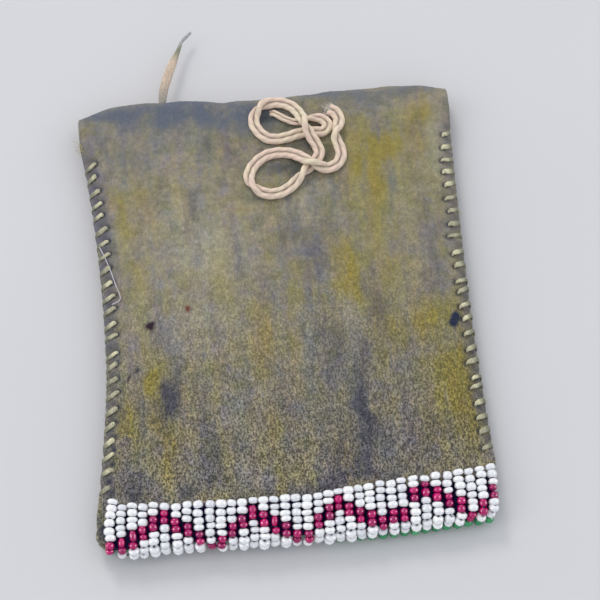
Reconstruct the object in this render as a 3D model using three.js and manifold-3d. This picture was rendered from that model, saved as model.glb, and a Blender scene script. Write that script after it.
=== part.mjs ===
// Strike-a-light bag: a flat hide pouch with a flap, overcast sides and a bead band round its bottom fold.
// Millimetres. +X is the width, +Y runs to the top fold, +Z is up. The bag lies on its front, back upwards.
import * as THREE from "three";
import { mergeVertices } from "three/addons/utils/BufferGeometryUtils.js";
import Module from "manifold-3d";

const wasm = await Module();
wasm.setup();
const { clamp, lerp, smoothstep } = THREE.MathUtils;

// The hide strip: flap, top fold, back, bottom fold and front, folded from one piece
const HIDE_THICKNESS = 1.1;
const END_HALF_WIDTH = 40;
const WAIST_HALF_WIDTH = 38.2;
const WAIST_SWAY = 1.21;
const END_SWAY = 0.31;
const WAIST_RUN = 42.7;
const LEFT_FLARE = 1.5;
const FLARE_START_Y = -8.36;
const FLARE_FULL_Y = -44.36;
const FLARE_START_SHARE = 0.3;
const TOP_FOLD_Y = 46.74;
const BOTTOM_FOLD_Y = -46.26;
const BOTTOM_BOW = 2;
const LEFT_DROP = 1.3;
const DROP_START_SHARE = 0.5;
const DROP_FULL_SHARE = 0.95;
const BOW_START_Y = -14.66;
const BOW_FULL_Y = -38.66;
const POUCH_ROOM = 4.8;
const BOTTOM_RISE_RUN = 22;
const CROWN_POWER = 4;
const SEAM_GAP = 0.3;
const TOP_FOLD_DEPTH = 6;
const TOP_CORNER_DROOP = 0.9;
const TOP_SETTLE_RUN = 24;
const TOP_FREE_RUN = 5;
const LEFT_RISE = 1.7;
const LEFT_RISE_SHARE = -0.72;
const RIGHT_RISE = 0.9;
const RIGHT_RISE_SHARE = 0.7;
const RISE_REACH_SHARE = 0.5;
const LEFT_CORNER_PULL = 1.8;
const LEFT_CORNER_SHARE = 0.8;
const RIGHT_CORNER_PULL = 1;
const RIGHT_CORNER_SHARE = 0.85;
const WANDER_RUN = 20;
const MOUTH_SETBACK = 2.2;
const FLAP_LENGTH = 42;
const FLAP_END_HALF_WIDTH = 33;
const FLAP_CORNER_RADIUS = 6;

// Overcast lacing along each side
const LACE_WIDTH = 1.15;
const LACE_THICKNESS = 0.6;
const LACE_CLEARANCE = 0.25;
const STITCH_PITCH = 3.15;
const STITCH_INSET = 2.4;
const MITRE_LIMIT = 0.6;
const STITCH_SLANT_SHARE = 0.5;
const EDGE_TURN_SPREAD = 0.2;
const SEAM_BOTTOM_Y = -36.66;
const SEAM_TOP_Y = 39.24;

// Glass beads on their sewing thread
const BEAD_DIAMETER = 2.05;
const BEAD_LENGTH = 1.45;
const BEAD_END_SHARE = 0.62;
const BEAD_BORE = 1;
const BEAD_SIDE_COUNT = 5;
const BEAD_END_GAP = 0.12;
const COLUMN_GAP = 0.12;
const SEAT_GAP = 0.2;
const THREAD_DIAMETER = 0.4;
const BAND_MARGIN = 0.85;
const BEADS_PER_COLUMN = 8;
const RED_BEADS = 2;
const BAND_END_TURN = 0.54;
const BAND_SLIDE_TURN = 0.14;
const SLIDE_SHARES = [-0.95, -0.6, 0.1, 0.5];
const LANE_GAP = 0.5;
const LANE_SEAM_CLEARANCE = 0.6;
const LANE_VALLEY_SHARE = 0.5;
const LANE_MIDDLE_SHARE = 0.5;
const FOLD_LANE_SETBACK = 0.29;

// Zigzag of the red pair: columns from one point to the next, and the first point's column
const ZIGZAG_PERIOD = 8;
const ZIGZAG_FIRST_POINT = 5;
const LONG_COLUMNS = [9, 10, 18, 27, 33, 34];

// Doubled tie cord, knotted inside the back, and the thong under the top fold
const TIE_CORD_DIAMETER = 2;
const KNOT_DIAMETER = 4.4;
const KNOT_HEIGHT = 2;
const CORD_HOLE_CLEARANCE = 0.3;
const THONG_WIDTH = 2.1;
const THONG_THICKNESS = 0.9;
const THONG_CLEARANCE = 0.3;
const CORD_SIDE_COUNT = 8;
const CORD_STEP_COUNT = 48;
const THONG_STEP_COUNT = 12;
const KNOT_SIDE_COUNT = 8;

// Heights and counts that follow from the sizes above
const LACE_LIFT = LACE_CLEARANCE + LACE_THICKNESS / 2;
const FLAP_Z = HIDE_THICKNESS / 2;
const UNDER_FRONT = Math.max(
  BEAD_DIAMETER + SEAT_GAP,
  HIDE_THICKNESS + LACE_THICKNESS + 2 * LACE_CLEARANCE,
);
const FRONT_Z = UNDER_FRONT + HIDE_THICKNESS / 2;
const BOTTOM_FOLD_RADIUS = (HIDE_THICKNESS + SEAM_GAP) / 2;
const CROWN_RISE = POUCH_ROOM - SEAM_GAP;
const FLAP_END_Y = TOP_FOLD_Y - FLAP_LENGTH;
const MOUTH_Y = TOP_FOLD_Y - MOUTH_SETBACK;
const COLUMN_PITCH = BEAD_DIAMETER + COLUMN_GAP;
const COLUMN_COUNT = Math.floor((2 * (END_HALF_WIDTH - BAND_MARGIN) + COLUMN_GAP) / COLUMN_PITCH);
const COLUMN_LENGTH = BEADS_PER_COLUMN * BEAD_LENGTH;
const STITCH_COUNT = Math.floor((SEAM_TOP_Y - SEAM_BOTTOM_Y) / STITCH_PITCH);
const LANE_HALF_WIDTH =
  WAIST_HALF_WIDTH - STITCH_INSET - LACE_THICKNESS / 2 - LACE_CLEARANCE - LANE_SEAM_CLEARANCE;
const LANE_COLUMNS = Math.floor((2 * LANE_HALF_WIDTH) / COLUMN_PITCH);
const FOLD_LANE_END_Y = SEAM_BOTTOM_Y - LANE_GAP;
const LANE_COUNT = 1 + Math.floor((FLAP_END_Y - FOLD_LANE_END_Y - LANE_GAP) / (COLUMN_LENGTH + LANE_GAP));

const hideFinish = { color: 0x7f7c6a, roughness: 0.95, metalness: 0 };
const laceFinish = { color: 0xc9c09a, roughness: 0.8, metalness: 0 };
const whiteGlass = { color: 0xf2f2f6, roughness: 0.25, metalness: 0 };
const redGlass = { color: 0xb01a4a, roughness: 0.15, metalness: 0 };
const greenGlass = { color: 0x2a8a55, roughness: 0.2, metalness: 0 };
const cottonFinish = { color: 0xd8c9ba, roughness: 0.95, metalness: 0 };
const thongFinish = { color: 0xb59a7c, roughness: 0.85, metalness: 0 };

const bag = new THREE.Group();

function addPiece(name, geometry, finish) {
  const mesh = new THREE.Mesh(geometry, new THREE.MeshStandardMaterial(finish));
  mesh.name = name;
  bag.add(mesh);
}

// A flat profile carried through a row of places, each of which turns a profile point into a point in space.
// The ends are capped, or joined to each other when the row is a ring.
function sweep(profile, places, isRing = false) {
  const positions = places.flatMap((place) => profile.flatMap((corner) => place(corner).toArray()));
  const index = [];
  const size = profile.length;
  const links = isRing ? places.length : places.length - 1;
  for (let link = 0; link < links; link += 1) {
    const here = link * size;
    const next = ((link + 1) % places.length) * size;
    for (let corner = 0; corner < size; corner += 1) {
      const beside = (corner + 1) % size;
      index.push(here + corner, here + beside, next + beside);
      index.push(here + corner, next + beside, next + corner);
    }
  }
  if (!isRing) {
    const last = (places.length - 1) * size;
    for (const [a, b, c] of THREE.ShapeUtils.triangulateShape(profile, [])) {
      index.push(c, b, a);
      index.push(last + a, last + b, last + c);
    }
  }
  const geometry = new THREE.BufferGeometry();
  geometry.setAttribute("position", new THREE.Float32BufferAttribute(positions, 3));
  geometry.setIndex(index);
  geometry.computeVertexNormals();
  return geometry;
}

function solidOf(geometry) {
  const bare = geometry.clone();
  bare.deleteAttribute("normal");
  bare.deleteAttribute("uv");
  const merged = mergeVertices(bare);
  const mesh = new wasm.Mesh({
    numProp: 3,
    vertProperties: merged.attributes.position.array,
    triVerts: new Uint32Array(merged.index.array),
  });
  return new wasm.Manifold(mesh);
}

function geometryOf(solid) {
  const mesh = solid.getMesh();
  const geometry = new THREE.BufferGeometry();
  geometry.setAttribute("position", new THREE.BufferAttribute(mesh.vertProperties, 3));
  geometry.setIndex(new THREE.BufferAttribute(mesh.triVerts, 1));
  geometry.computeVertexNormals();
  return geometry;
}

// Plan outline: the sides draw in at the waist and sway a little
function endShare(y) {
  return Math.min(1, Math.abs(y) / WAIST_RUN) ** 2;
}

function halfWidth(y) {
  return lerp(WAIST_HALF_WIDTH, END_HALF_WIDTH, endShare(y));
}

// The bottom edge bows out and drops at its left end
function bottomBow(across) {
  return BOTTOM_BOW * (1 - across ** 2) + LEFT_DROP * smoothstep(-across, DROP_START_SHARE, DROP_FULL_SHARE);
}

// That bow further up, from nothing at one height to the whole of it at another
function bowOut(across, y, fadedY, fullY) {
  return bottomBow(across) * smoothstep(-y, -fadedY, -fullY);
}

// The top edge isn't straight: it rises on either side of the middle and draws in at the corners
function topWander(across, y) {
  const rise = (height, share) => height * Math.max(0, 1 - ((across - share) / RISE_REACH_SHARE) ** 2);
  const pull =
    LEFT_CORNER_PULL * smoothstep(-across, LEFT_CORNER_SHARE, 1) +
    RIGHT_CORNER_PULL * smoothstep(across, RIGHT_CORNER_SHARE, 1);
  const edge = rise(LEFT_RISE, LEFT_RISE_SHARE) + rise(RIGHT_RISE, RIGHT_RISE_SHARE) - pull;
  return edge * smoothstep(y, TOP_FOLD_Y - WANDER_RUN, TOP_FOLD_Y);
}

// The left side flares out towards the bottom
function leftFlare(across, y) {
  const flare = LEFT_FLARE * smoothstep(-y, -FLARE_START_Y, -FLARE_FULL_Y);
  return flare * smoothstep(-across, FLARE_START_SHARE, 1);
}

function onPlan(across, y, z, half = halfWidth(y)) {
  const x = lerp(WAIST_SWAY, END_SWAY, endShare(y)) + across * half - leftFlare(across, y);
  return new THREE.Vector3(x, y + topWander(across, y), z);
}

// The strip's middle surface, one function for each stretch, with along from 0 to 1 and across from -1 to 1
function flap(along, across) {
  const y = lerp(FLAP_END_Y, TOP_FOLD_Y, along);
  const fromEnd = FLAP_CORNER_RADIUS - Math.min(FLAP_CORNER_RADIUS, y - FLAP_END_Y);
  const cornerCut = FLAP_CORNER_RADIUS - Math.sqrt(FLAP_CORNER_RADIUS ** 2 - fromEnd ** 2);
  const half = lerp(FLAP_END_HALF_WIDTH, halfWidth(TOP_FOLD_Y), along) - cornerCut;
  return onPlan(across, y, FLAP_Z, half);
}

function topFoldDepth(across) {
  return TOP_FOLD_DEPTH - TOP_CORNER_DROOP * across ** 2;
}

function topFold(along, across) {
  const radius = topFoldDepth(across) / 2;
  const turn = Math.PI * along;
  const place = onPlan(across, TOP_FOLD_Y, FLAP_Z + radius * (1 - Math.cos(turn)));
  place.y += radius * Math.sin(turn);
  return place;
}

function crownRise(across) {
  return CROWN_RISE * (1 - Math.abs(across) ** CROWN_POWER);
}

function bottomSlope(across) {
  return Math.atan((2 * crownRise(across)) / BOTTOM_RISE_RUN);
}

function back(along, across) {
  const slope = bottomSlope(across);
  const startY = BOTTOM_FOLD_Y - BOTTOM_FOLD_RADIUS * Math.sin(slope);
  const startZ = FRONT_Z + BOTTOM_FOLD_RADIUS * (1 + Math.cos(slope));
  const y = lerp(TOP_FOLD_Y, startY, along);
  const climb = clamp((y - startY) / BOTTOM_RISE_RUN, 0, 1);
  const crownZ = startZ + crownRise(across) * (1 - (1 - climb) ** 2);
  const settleRun = lerp(TOP_SETTLE_RUN, TOP_FREE_RUN, across ** CROWN_POWER);
  const settle = smoothstep(y, TOP_FOLD_Y - settleRun, TOP_FOLD_Y);
  const place = onPlan(across, y, lerp(crownZ, FLAP_Z + topFoldDepth(across), settle));
  place.y -= bowOut(across, y, BOW_START_Y, BOW_FULL_Y);
  return place;
}

function bottomFold(along, across) {
  const turn = lerp(Math.PI - bottomSlope(across), 0, along);
  const place = onPlan(across, BOTTOM_FOLD_Y, FRONT_Z + BOTTOM_FOLD_RADIUS * (1 - Math.cos(turn)));
  place.y -= BOTTOM_FOLD_RADIUS * Math.sin(turn) + bottomBow(across);
  return place;
}

function front(along, across) {
  const y = lerp(BOTTOM_FOLD_Y, MOUTH_Y, along);
  const place = onPlan(across, y, FRONT_Z);
  place.y -= bowOut(across, y, FOLD_LANE_END_Y, BOTTOM_FOLD_Y);
  return place;
}

// The whole strip: the whole part of run picks the stretch, the rest is the way along it
const STRETCHES = [flap, topFold, back, bottomFold, front];
const BACK_RUN = STRETCHES.indexOf(back);
const BOTTOM_RUN = STRETCHES.indexOf(bottomFold);
const FRONT_RUN = STRETCHES.indexOf(front);
const NUDGE = 1e-3;

function strip(run, across) {
  const held = clamp(run, 0, STRETCHES.length);
  const stretch = Math.min(STRETCHES.length - 1, Math.floor(held));
  return STRETCHES[stretch](held - stretch, across);
}

// A point at a height over the strip's middle surface, on the outside where the height is above 0
function overStrip(run, across, height) {
  const alongStep = strip(run + NUDGE, across).sub(strip(run - NUDGE, across)).normalize();
  const acrossStep = strip(run, across + NUDGE).sub(strip(run, across - NUDGE)).normalize();
  const outward = alongStep.cross(acrossStep).normalize();
  return strip(run, across).addScaledVector(outward, height);
}

function overHide(run, across, height) {
  return overStrip(run, across, HIDE_THICKNESS / 2 + height);
}

function backRun(y, across) {
  const startY = BOTTOM_FOLD_Y - BOTTOM_FOLD_RADIUS * Math.sin(bottomSlope(across));
  return BACK_RUN + (TOP_FOLD_Y - y) / (TOP_FOLD_Y - startY);
}

// Tie cord: from the knot inside, out through the hide and in loose loops over the back to its cut end
const TIE_CORD_ROUTE = [
  [0.74, 44.54, 4.7],
  [1.84, 44.14, 6.3],
  [2.94, 43.74, 7.9],
  [4.74, 42.94, 8.7],
  [6.94, 42.24, 8.5],
  [9.64, 42.94, 8.4],
  [12.44, 43.04, 8.4],
  [14.24, 41.54, 8.5],
  [13.14, 39.74, 8.65],
  [9.94, 39.24, 8.75],
  [6.84, 38.54, 8.8],
  [2.94, 37.84, 8.95],
  [-0.46, 38.54, 8.9],
  [-2.66, 40.54, 8.65],
  [-2.96, 43.34, 8.45],
  [-1.26, 46.04, 8.4],
  [1.54, 47.34, 8.3],
  [4.74, 47.24, 8.7],
  [7.34, 45.74, 9.7],
  [8.64, 42.84, 10.5],
  [9.54, 39.84, 10.8],
  [10.54, 37.24, 9.6],
  [11.34, 34.64, 9.3],
  [10.84, 32.14, 9.6],
  [9.14, 29.84, 9.9],
  [6.74, 27.34, 10.2],
  [4.24, 24.84, 10.4],
  [0.74, 23.74, 10.45],
  [-2.86, 24.64, 10.4],
  [-4.66, 27.64, 10.15],
  [-3.66, 30.94, 9.8],
  [-1.26, 33.74, 9.45],
  [2.34, 35.04, 9.3],
  [5.74, 34.04, 9.7],
  [8.94, 31.34, 11.5],
  [11.94, 29.54, 10.6],
  [14.54, 29.84, 10],
  [15.94, 32.34, 9.6],
  [15.24, 35.54, 9.2],
  [16.24, 39.34, 8.7],
  [16.44, 42.54, 8.5],
  [14.94, 44.84, 8.7],
  [12.94, 44.94, 9.1],
].map(([x, y, z]) => new THREE.Vector3(x, y, z));
const HOLE_ROUTE = [0, 2].map((number) => TIE_CORD_ROUTE[number]);

// Thong: from inside the pouch, over the mouth's edge and out through a slit in the top fold to its tip
const THONG_ROUTE = [
  [-22.26, 32.34, 4.1],
  [-21.86, 40.34, 4.1],
  [-21.56, 47.34, 4.1],
  [-21.36, 53.34, 4],
  [-19.86, 58.14, 3.8],
  [-18.16, 62.44, 3.5],
  [-16.36, 65.94, 3.1],
  [-14.26, 69.64, 2.6],
].map(([x, y, z]) => new THREE.Vector3(x, y, z));

// A round or flattened section of eight sides carried along a route
function cord(route, steps, width, thickness) {
  const section = new THREE.Shape(
    Array.from({ length: CORD_SIDE_COUNT }, (_, corner) => {
      const angle = (2 * Math.PI * corner) / CORD_SIDE_COUNT;
      return new THREE.Vector2((Math.cos(angle) * thickness) / 2, (Math.sin(angle) * width) / 2);
    }),
  );
  const extrudePath = new THREE.CatmullRomCurve3(route);
  return new THREE.ExtrudeGeometry(section, { steps, extrudePath });
}

// Hide: the strip's section swept along it, then pierced for the lacing
const ACROSS_STEPS = [-1, -0.88, -0.7, -0.55, -0.3, 0, 0.45, 0.75, 0.9, 1];
const RUN_STEPS = [
  [0, 0.02, 0.06, 0.13],
  [0, 0.17, 0.33, 0.5, 0.67, 0.83],
  [0, 0.03, 0.06, 0.1, 0.17, 0.26, 0.36, 0.48, 0.6, 0.7, 0.78, 0.86, 0.93],
  [0, 0.25, 0.5, 0.75],
  [0, 0.15, 0.28, 0.4, 0.52, 0.64, 0.76, 0.88, 1],
];

function hideBlank() {
  const half = HIDE_THICKNESS / 2;
  const lower = ACROSS_STEPS.map((across) => new THREE.Vector2(across, -half));
  const upper = ACROSS_STEPS.map((across) => new THREE.Vector2(-across, half));
  const places = RUN_STEPS.flatMap((steps, stretch) =>
    steps.map((step) => (corner) => overStrip(stretch + step, corner.x, corner.y)),
  );
  return sweep([...lower, ...upper], places);
}

// One side's stitches: where each passes through, and the edge that it goes over
function stitchesOf(side) {
  return Array.from({ length: STITCH_COUNT }, (_, number) => {
    const y = SEAM_BOTTOM_Y + (number + 0.5) * STITCH_PITCH;
    return { y, across: side * (1 - STITCH_INSET / halfWidth(y)) };
  });
}

function laceHole({ y, across }) {
  const top = overHide(backRun(y, across), across, LACE_LIFT);
  const height = top.z - UNDER_FRONT + LACE_CLEARANCE;
  const length = LACE_WIDTH + 2 * LACE_CLEARANCE;
  const hole = new THREE.BoxGeometry(LACE_THICKNESS + 2 * LACE_CLEARANCE, length, height);
  return hole.translate(top.x, top.y, top.z - height / 2);
}

const cordHoleWidth = TIE_CORD_DIAMETER + 2 * CORD_HOLE_CLEARANCE;
const cordHole = solidOf(cord(HOLE_ROUTE, 1, cordHoleWidth, cordHoleWidth));
const slit = cord(
  THONG_ROUTE.slice(2, 4),
  1,
  THONG_WIDTH + 2 * THONG_CLEARANCE,
  THONG_THICKNESS + 2 * THONG_CLEARANCE,
);
const laceHoles = [-1, 1].flatMap((side) => stitchesOf(side).map((stitch) => solidOf(laceHole(stitch))));
const holes = [cordHole, solidOf(slit), ...laceHoles];
const piercedHide = holes.reduce((hide, hole) => hide.subtract(hole), solidOf(hideBlank()));
addPiece("hide_bag", geometryOf(piercedHide), hideFinish);

addPiece("tie_cord", cord(TIE_CORD_ROUTE, CORD_STEP_COUNT, TIE_CORD_DIAMETER, TIE_CORD_DIAMETER), cottonFinish);
addPiece("flap_thong", cord(THONG_ROUTE, THONG_STEP_COUNT, THONG_WIDTH, THONG_THICKNESS), thongFinish);

const knotBall = new THREE.SphereGeometry(KNOT_DIAMETER / 2, KNOT_SIDE_COUNT, KNOT_SIDE_COUNT / 2);
knotBall.rotateX(Math.PI / 2);
knotBall.scale(1, 1, KNOT_HEIGHT / KNOT_DIAMETER);
knotBall.translate(...TIE_CORD_ROUTE[0].toArray());
addPiece("tie_cord_knot", geometryOf(solidOf(knotBall).subtract(cordHole)), cottonFinish);

// A flat strip along a path that goes round and round an axis parallel to Y
function ribbon(path, axis) {
  const profile = [
    [-1, -1],
    [1, -1],
    [1, 1],
    [-1, 1],
  ].map(([u, v]) => new THREE.Vector2((u * LACE_WIDTH) / 2, (v * LACE_THICKNESS) / 2));
  const places = path.map((point, number) => {
    const before = path[Math.max(0, number - 1)];
    const after = path[Math.min(path.length - 1, number + 1)];
    const into = point.clone().sub(before).normalize();
    const outOf = after.clone().sub(point).normalize();
    const tangent = into.clone().add(outOf).normalize();
    const mitre = into.lengthSq() && outOf.lengthSq() ? 1 / Math.max(MITRE_LIMIT, tangent.dot(outOf)) : 1;
    const away = new THREE.Vector3(point.x - axis[number].x, 0, point.z - axis[number].z);
    const wide = away.cross(tangent).normalize();
    const thick = tangent.clone().cross(wide).multiplyScalar(mitre);
    return (corner) => point.clone().addScaledVector(wide, corner.x).addScaledVector(thick, corner.y);
  });
  return sweep(profile, places);
}

// Each turn comes up through its hole, slants over the edge and goes back under to the next hole
function lacing(side) {
  const path = [];
  const axis = [];
  const stitches = stitchesOf(side);
  const ordered = side > 0 ? stitches : stitches.reverse();
  ordered.forEach((stitch) => {
    const at = (share, across, height) => {
      const y = stitch.y + side * share * STITCH_PITCH;
      return overHide(backRun(y, across), across, height);
    };
    const top = at(0, stitch.across, LACE_LIFT);
    const edge = at(STITCH_SLANT_SHARE, side, LACE_CLEARANCE);
    const edgeX = edge.x + side * LACE_LIFT;
    const under = UNDER_FRONT - LACE_LIFT;
    const turn = [
      new THREE.Vector3(top.x, top.y, under),
      top,
      new THREE.Vector3(edgeX, lerp(top.y, edge.y, 1 - EDGE_TURN_SPREAD), edge.z),
      new THREE.Vector3(edgeX, lerp(top.y, edge.y, 1 + EDGE_TURN_SPREAD), under),
    ];
    const centre = new THREE.Vector3((top.x + edgeX) / 2, top.y, (under + edge.z) / 2);
    path.push(...turn);
    axis.push(...turn.map(() => centre));
  });
  return ribbon(path, axis);
}

addPiece("seam_lacing_left", lacing(-1), laceFinish);
addPiece("seam_lacing_right", lacing(1), laceFinish);

// The turn of the bottom fold at which a bead column ends: the columns left of the middle slid further round
const LINE_STEP_COUNT = 8;

function bandEnd(across) {
  const [firstShare, wholeShare, fadingShare, lastShare] = SLIDE_SHARES;
  const slide = smoothstep(across, firstShare, wholeShare) * (1 - smoothstep(across, fadingShare, lastShare));
  return BAND_END_TURN + BAND_SLIDE_TURN * slide;
}

// One bead column's centre line, from the band's end on the bottom fold up over the back
function columnLine(across) {
  const height = SEAT_GAP + BEAD_DIAMETER / 2;
  const endTurn = bandEnd(across);
  const foldStep = endTurn / LINE_STEP_COUNT;
  const backStep = (COLUMN_LENGTH + BEAD_DIAMETER) / (TOP_FOLD_Y - BOTTOM_FOLD_Y) / LINE_STEP_COUNT;
  const foldRuns = Array.from({ length: LINE_STEP_COUNT }, (_, step) => endTurn - step * foldStep);
  const backRuns = Array.from({ length: LINE_STEP_COUNT + 1 }, (_, step) => -step * backStep);
  const points = [...foldRuns, ...backRuns].map((run) => overHide(BOTTOM_RUN + run, across, height));
  return new THREE.CatmullRomCurve3(points);
}

function columnAcross(column, count, half) {
  return ((column - (count - 1) / 2) * COLUMN_PITCH) / half;
}

// The place of a round section on a column's line, at a distance from its lower end
const ACROSS = new THREE.Vector3(1, 0, 0);

function onLine(line, distance, radius, travel = 1) {
  const share = distance / line.getLength();
  const centre = line.getPointAt(share);
  const tangent = line.getTangentAt(share);
  const up = ACROSS.clone().cross(tangent).normalize();
  const side = up.clone().cross(tangent).multiplyScalar(travel);
  return (corner) =>
    centre.clone().addScaledVector(side, corner.x * radius).addScaledVector(up, corner.y * radius);
}

// The thread's turn from one column to the next, close to the hide just past the column's end
function threadTurn(line, distance, travel) {
  const share = distance / line.getLength();
  const along = line.getTangentAt(share);
  const up = ACROSS.clone().cross(along).normalize();
  const outwards = distance > 0 ? THREAD_DIAMETER : -THREAD_DIAMETER;
  const drop = (BEAD_DIAMETER - THREAD_DIAMETER) / 2;
  const centre = line.getPointAt(share).addScaledVector(along, outwards).addScaledVector(up, -drop);
  const tangent = along.multiplyScalar(travel).add(ACROSS).normalize();
  const side = up.clone().cross(tangent).normalize();
  const radius = THREAD_DIAMETER / 2;
  return (corner) =>
    centre.clone().addScaledVector(side, corner.x * radius).addScaledVector(up, corner.y * radius);
}

// White beads above the red pair in a column: a zigzag, with the odd column strung one bead long
function whiteAbove(column) {
  const past = column - ZIGZAG_FIRST_POINT;
  const step = past < 0 ? -past : Math.min(past % ZIGZAG_PERIOD, ZIGZAG_PERIOD - (past % ZIGZAG_PERIOD));
  const extra = LONG_COLUMNS.includes(column) ? 1 : 0;
  return Math.min(BEADS_PER_COLUMN - RED_BEADS, 1 + step + extra);
}

// Distances and radii of the sections of a column's white beads, from its lower end
function whiteSections(column) {
  const firstRed = BEADS_PER_COLUMN - RED_BEADS - whiteAbove(column);
  const redEnd = firstRed + RED_BEADS;
  const belly = BEAD_DIAMETER / 2;
  const sectionAt = (bead) => {
    if (bead === firstRed) return [Math.max(0, bead * BEAD_LENGTH - BEAD_END_GAP), THREAD_DIAMETER / 2];
    if (bead === redEnd) return [bead * BEAD_LENGTH + BEAD_END_GAP, THREAD_DIAMETER / 2];
    return [bead * BEAD_LENGTH, belly * BEAD_END_SHARE];
  };
  const sections = [sectionAt(0)];
  for (let bead = 0; bead < BEADS_PER_COLUMN; bead += 1) {
    const isWhite = bead < firstRed || bead >= redEnd;
    if (isWhite) sections.push([(bead + 0.5) * BEAD_LENGTH, belly]);
    if (bead !== firstRed) sections.push(sectionAt(bead + 1));
  }
  return sections;
}

// A red pair's sections: out over the two beads, then back through their bore
function redSections(column) {
  const firstRed = BEADS_PER_COLUMN - RED_BEADS - whiteAbove(column);
  const low = firstRed * BEAD_LENGTH + BEAD_END_GAP / 2;
  const high = (firstRed + RED_BEADS) * BEAD_LENGTH - BEAD_END_GAP / 2;
  const belly = BEAD_DIAMETER / 2;
  const end = belly * BEAD_END_SHARE;
  return [
    [low, end],
    [(firstRed + 0.5) * BEAD_LENGTH, belly],
    [(firstRed + 1) * BEAD_LENGTH, end],
    [(firstRed + 1.5) * BEAD_LENGTH, belly],
    [high, end],
    [high, BEAD_BORE / 2],
    [low, BEAD_BORE / 2],
  ];
}

const roundSection = Array.from({ length: BEAD_SIDE_COUNT }, (_, corner) => {
  const angle = Math.PI / 2 + (2 * Math.PI * corner) / BEAD_SIDE_COUNT;
  return new THREE.Vector2(Math.cos(angle), Math.sin(angle));
});

// The thread goes up one column and down the next, so the white beads of the band are one string
const stringPlaces = [];
for (let column = 0; column < COLUMN_COUNT; column += 1) {
  const line = columnLine(columnAcross(column, COLUMN_COUNT, END_HALF_WIDTH));
  const travel = column % 2 ? -1 : 1;
  const sections = whiteSections(column);
  const ordered = travel > 0 ? sections : sections.reverse();
  const [from, to] = travel > 0 ? [0, COLUMN_LENGTH] : [COLUMN_LENGTH, 0];
  stringPlaces.push(threadTurn(line, from, travel));
  stringPlaces.push(...ordered.map(([distance, radius]) => onLine(line, distance, radius, travel)));
  stringPlaces.push(threadTurn(line, to, travel));
  const redPlaces = redSections(column).map(([distance, radius]) => onLine(line, distance, radius));
  const number = String(column + 1).padStart(2, "0");
  addPiece(`red_bead_pair_${number}`, sweep(roundSection, redPlaces, true), redGlass);
}
addPiece("white_bead_string", sweep(roundSection, stringPlaces), whiteGlass);

// Green lanes of the front: rows of bead columns side by side, ridged on the outside
function laneProfile(count, innerSteps) {
  const half = (count * COLUMN_PITCH) / 2;
  const inner = Array.from({ length: innerSteps + 1 }, (_, step) => step / innerSteps);
  const valley = SEAT_GAP + BEAD_DIAMETER * LANE_VALLEY_SHARE;
  const outer = [new THREE.Vector2(half, valley)];
  for (let column = 0; column < count; column += 1) {
    const right = half - column * COLUMN_PITCH;
    outer.push(new THREE.Vector2(right - COLUMN_PITCH / 2, SEAT_GAP + BEAD_DIAMETER));
    outer.push(new THREE.Vector2(right - COLUMN_PITCH, valley));
  }
  return [...inner.map((share) => new THREE.Vector2((2 * share - 1) * half, SEAT_GAP)), ...outer];
}

function frontRun(y) {
  return FRONT_RUN + (y - BOTTOM_FOLD_Y) / (MOUTH_Y - BOTTOM_FOLD_Y);
}

function lane(count, innerSteps, half, runs) {
  const places = runs.map((run) => (corner) => {
    const across = corner.x / half;
    return overHide(run(across), across, corner.y);
  });
  return sweep(laneProfile(count, innerSteps), places);
}

function foldLaneStart(across) {
  return BOTTOM_RUN + bandEnd(across) + FOLD_LANE_SETBACK;
}

const foldLaneRuns = [
  foldLaneStart,
  (across) => lerp(foldLaneStart(across), FRONT_RUN, LANE_MIDDLE_SHARE),
  () => FRONT_RUN,
  () => frontRun(FOLD_LANE_END_Y),
];
addPiece("green_bead_lane_1", lane(COLUMN_COUNT, COLUMN_COUNT, END_HALF_WIDTH, foldLaneRuns), greenGlass);
for (let number = 2; number <= LANE_COUNT; number += 1) {
  const from = FOLD_LANE_END_Y + LANE_GAP + (number - 2) * (COLUMN_LENGTH + LANE_GAP);
  const runs = [() => frontRun(from), () => frontRun(from + COLUMN_LENGTH)];
  addPiece(`green_bead_lane_${number}`, lane(LANE_COLUMNS, 1, WAIST_HALF_WIDTH, runs), greenGlass);
}

export default bag;
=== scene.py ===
import bpy
import numpy as np
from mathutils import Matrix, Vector


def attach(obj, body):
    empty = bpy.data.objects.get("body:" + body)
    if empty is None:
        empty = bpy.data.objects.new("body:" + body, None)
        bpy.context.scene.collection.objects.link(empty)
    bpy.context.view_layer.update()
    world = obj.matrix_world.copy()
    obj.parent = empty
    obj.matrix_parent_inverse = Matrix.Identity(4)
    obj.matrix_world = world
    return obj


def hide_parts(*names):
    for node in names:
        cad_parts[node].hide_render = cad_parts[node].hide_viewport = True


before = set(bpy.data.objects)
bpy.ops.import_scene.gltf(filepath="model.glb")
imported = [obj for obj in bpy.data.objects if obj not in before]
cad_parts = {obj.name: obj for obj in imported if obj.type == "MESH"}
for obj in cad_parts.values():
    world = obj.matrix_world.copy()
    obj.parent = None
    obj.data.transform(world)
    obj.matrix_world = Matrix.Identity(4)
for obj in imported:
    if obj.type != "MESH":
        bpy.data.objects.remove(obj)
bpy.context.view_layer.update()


# Camera: it looks down on the back of the bag from over its foot, as the photograph was taken,
# from about half a metre away and turned a little to the bag's left.
AIM = (0.00424, 0.00364, 0.0)
CAMERA_TURN = np.radians(5.4)
CAMERA_ELEVATION = np.radians(66)
CAMERA_DISTANCE = 0.48
LENS_MM = 135.7


def facing(direction):
    """The turn that points a camera or lamp in a direction."""
    return Vector(direction).to_track_quat("-Z", "Y").to_euler()


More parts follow.
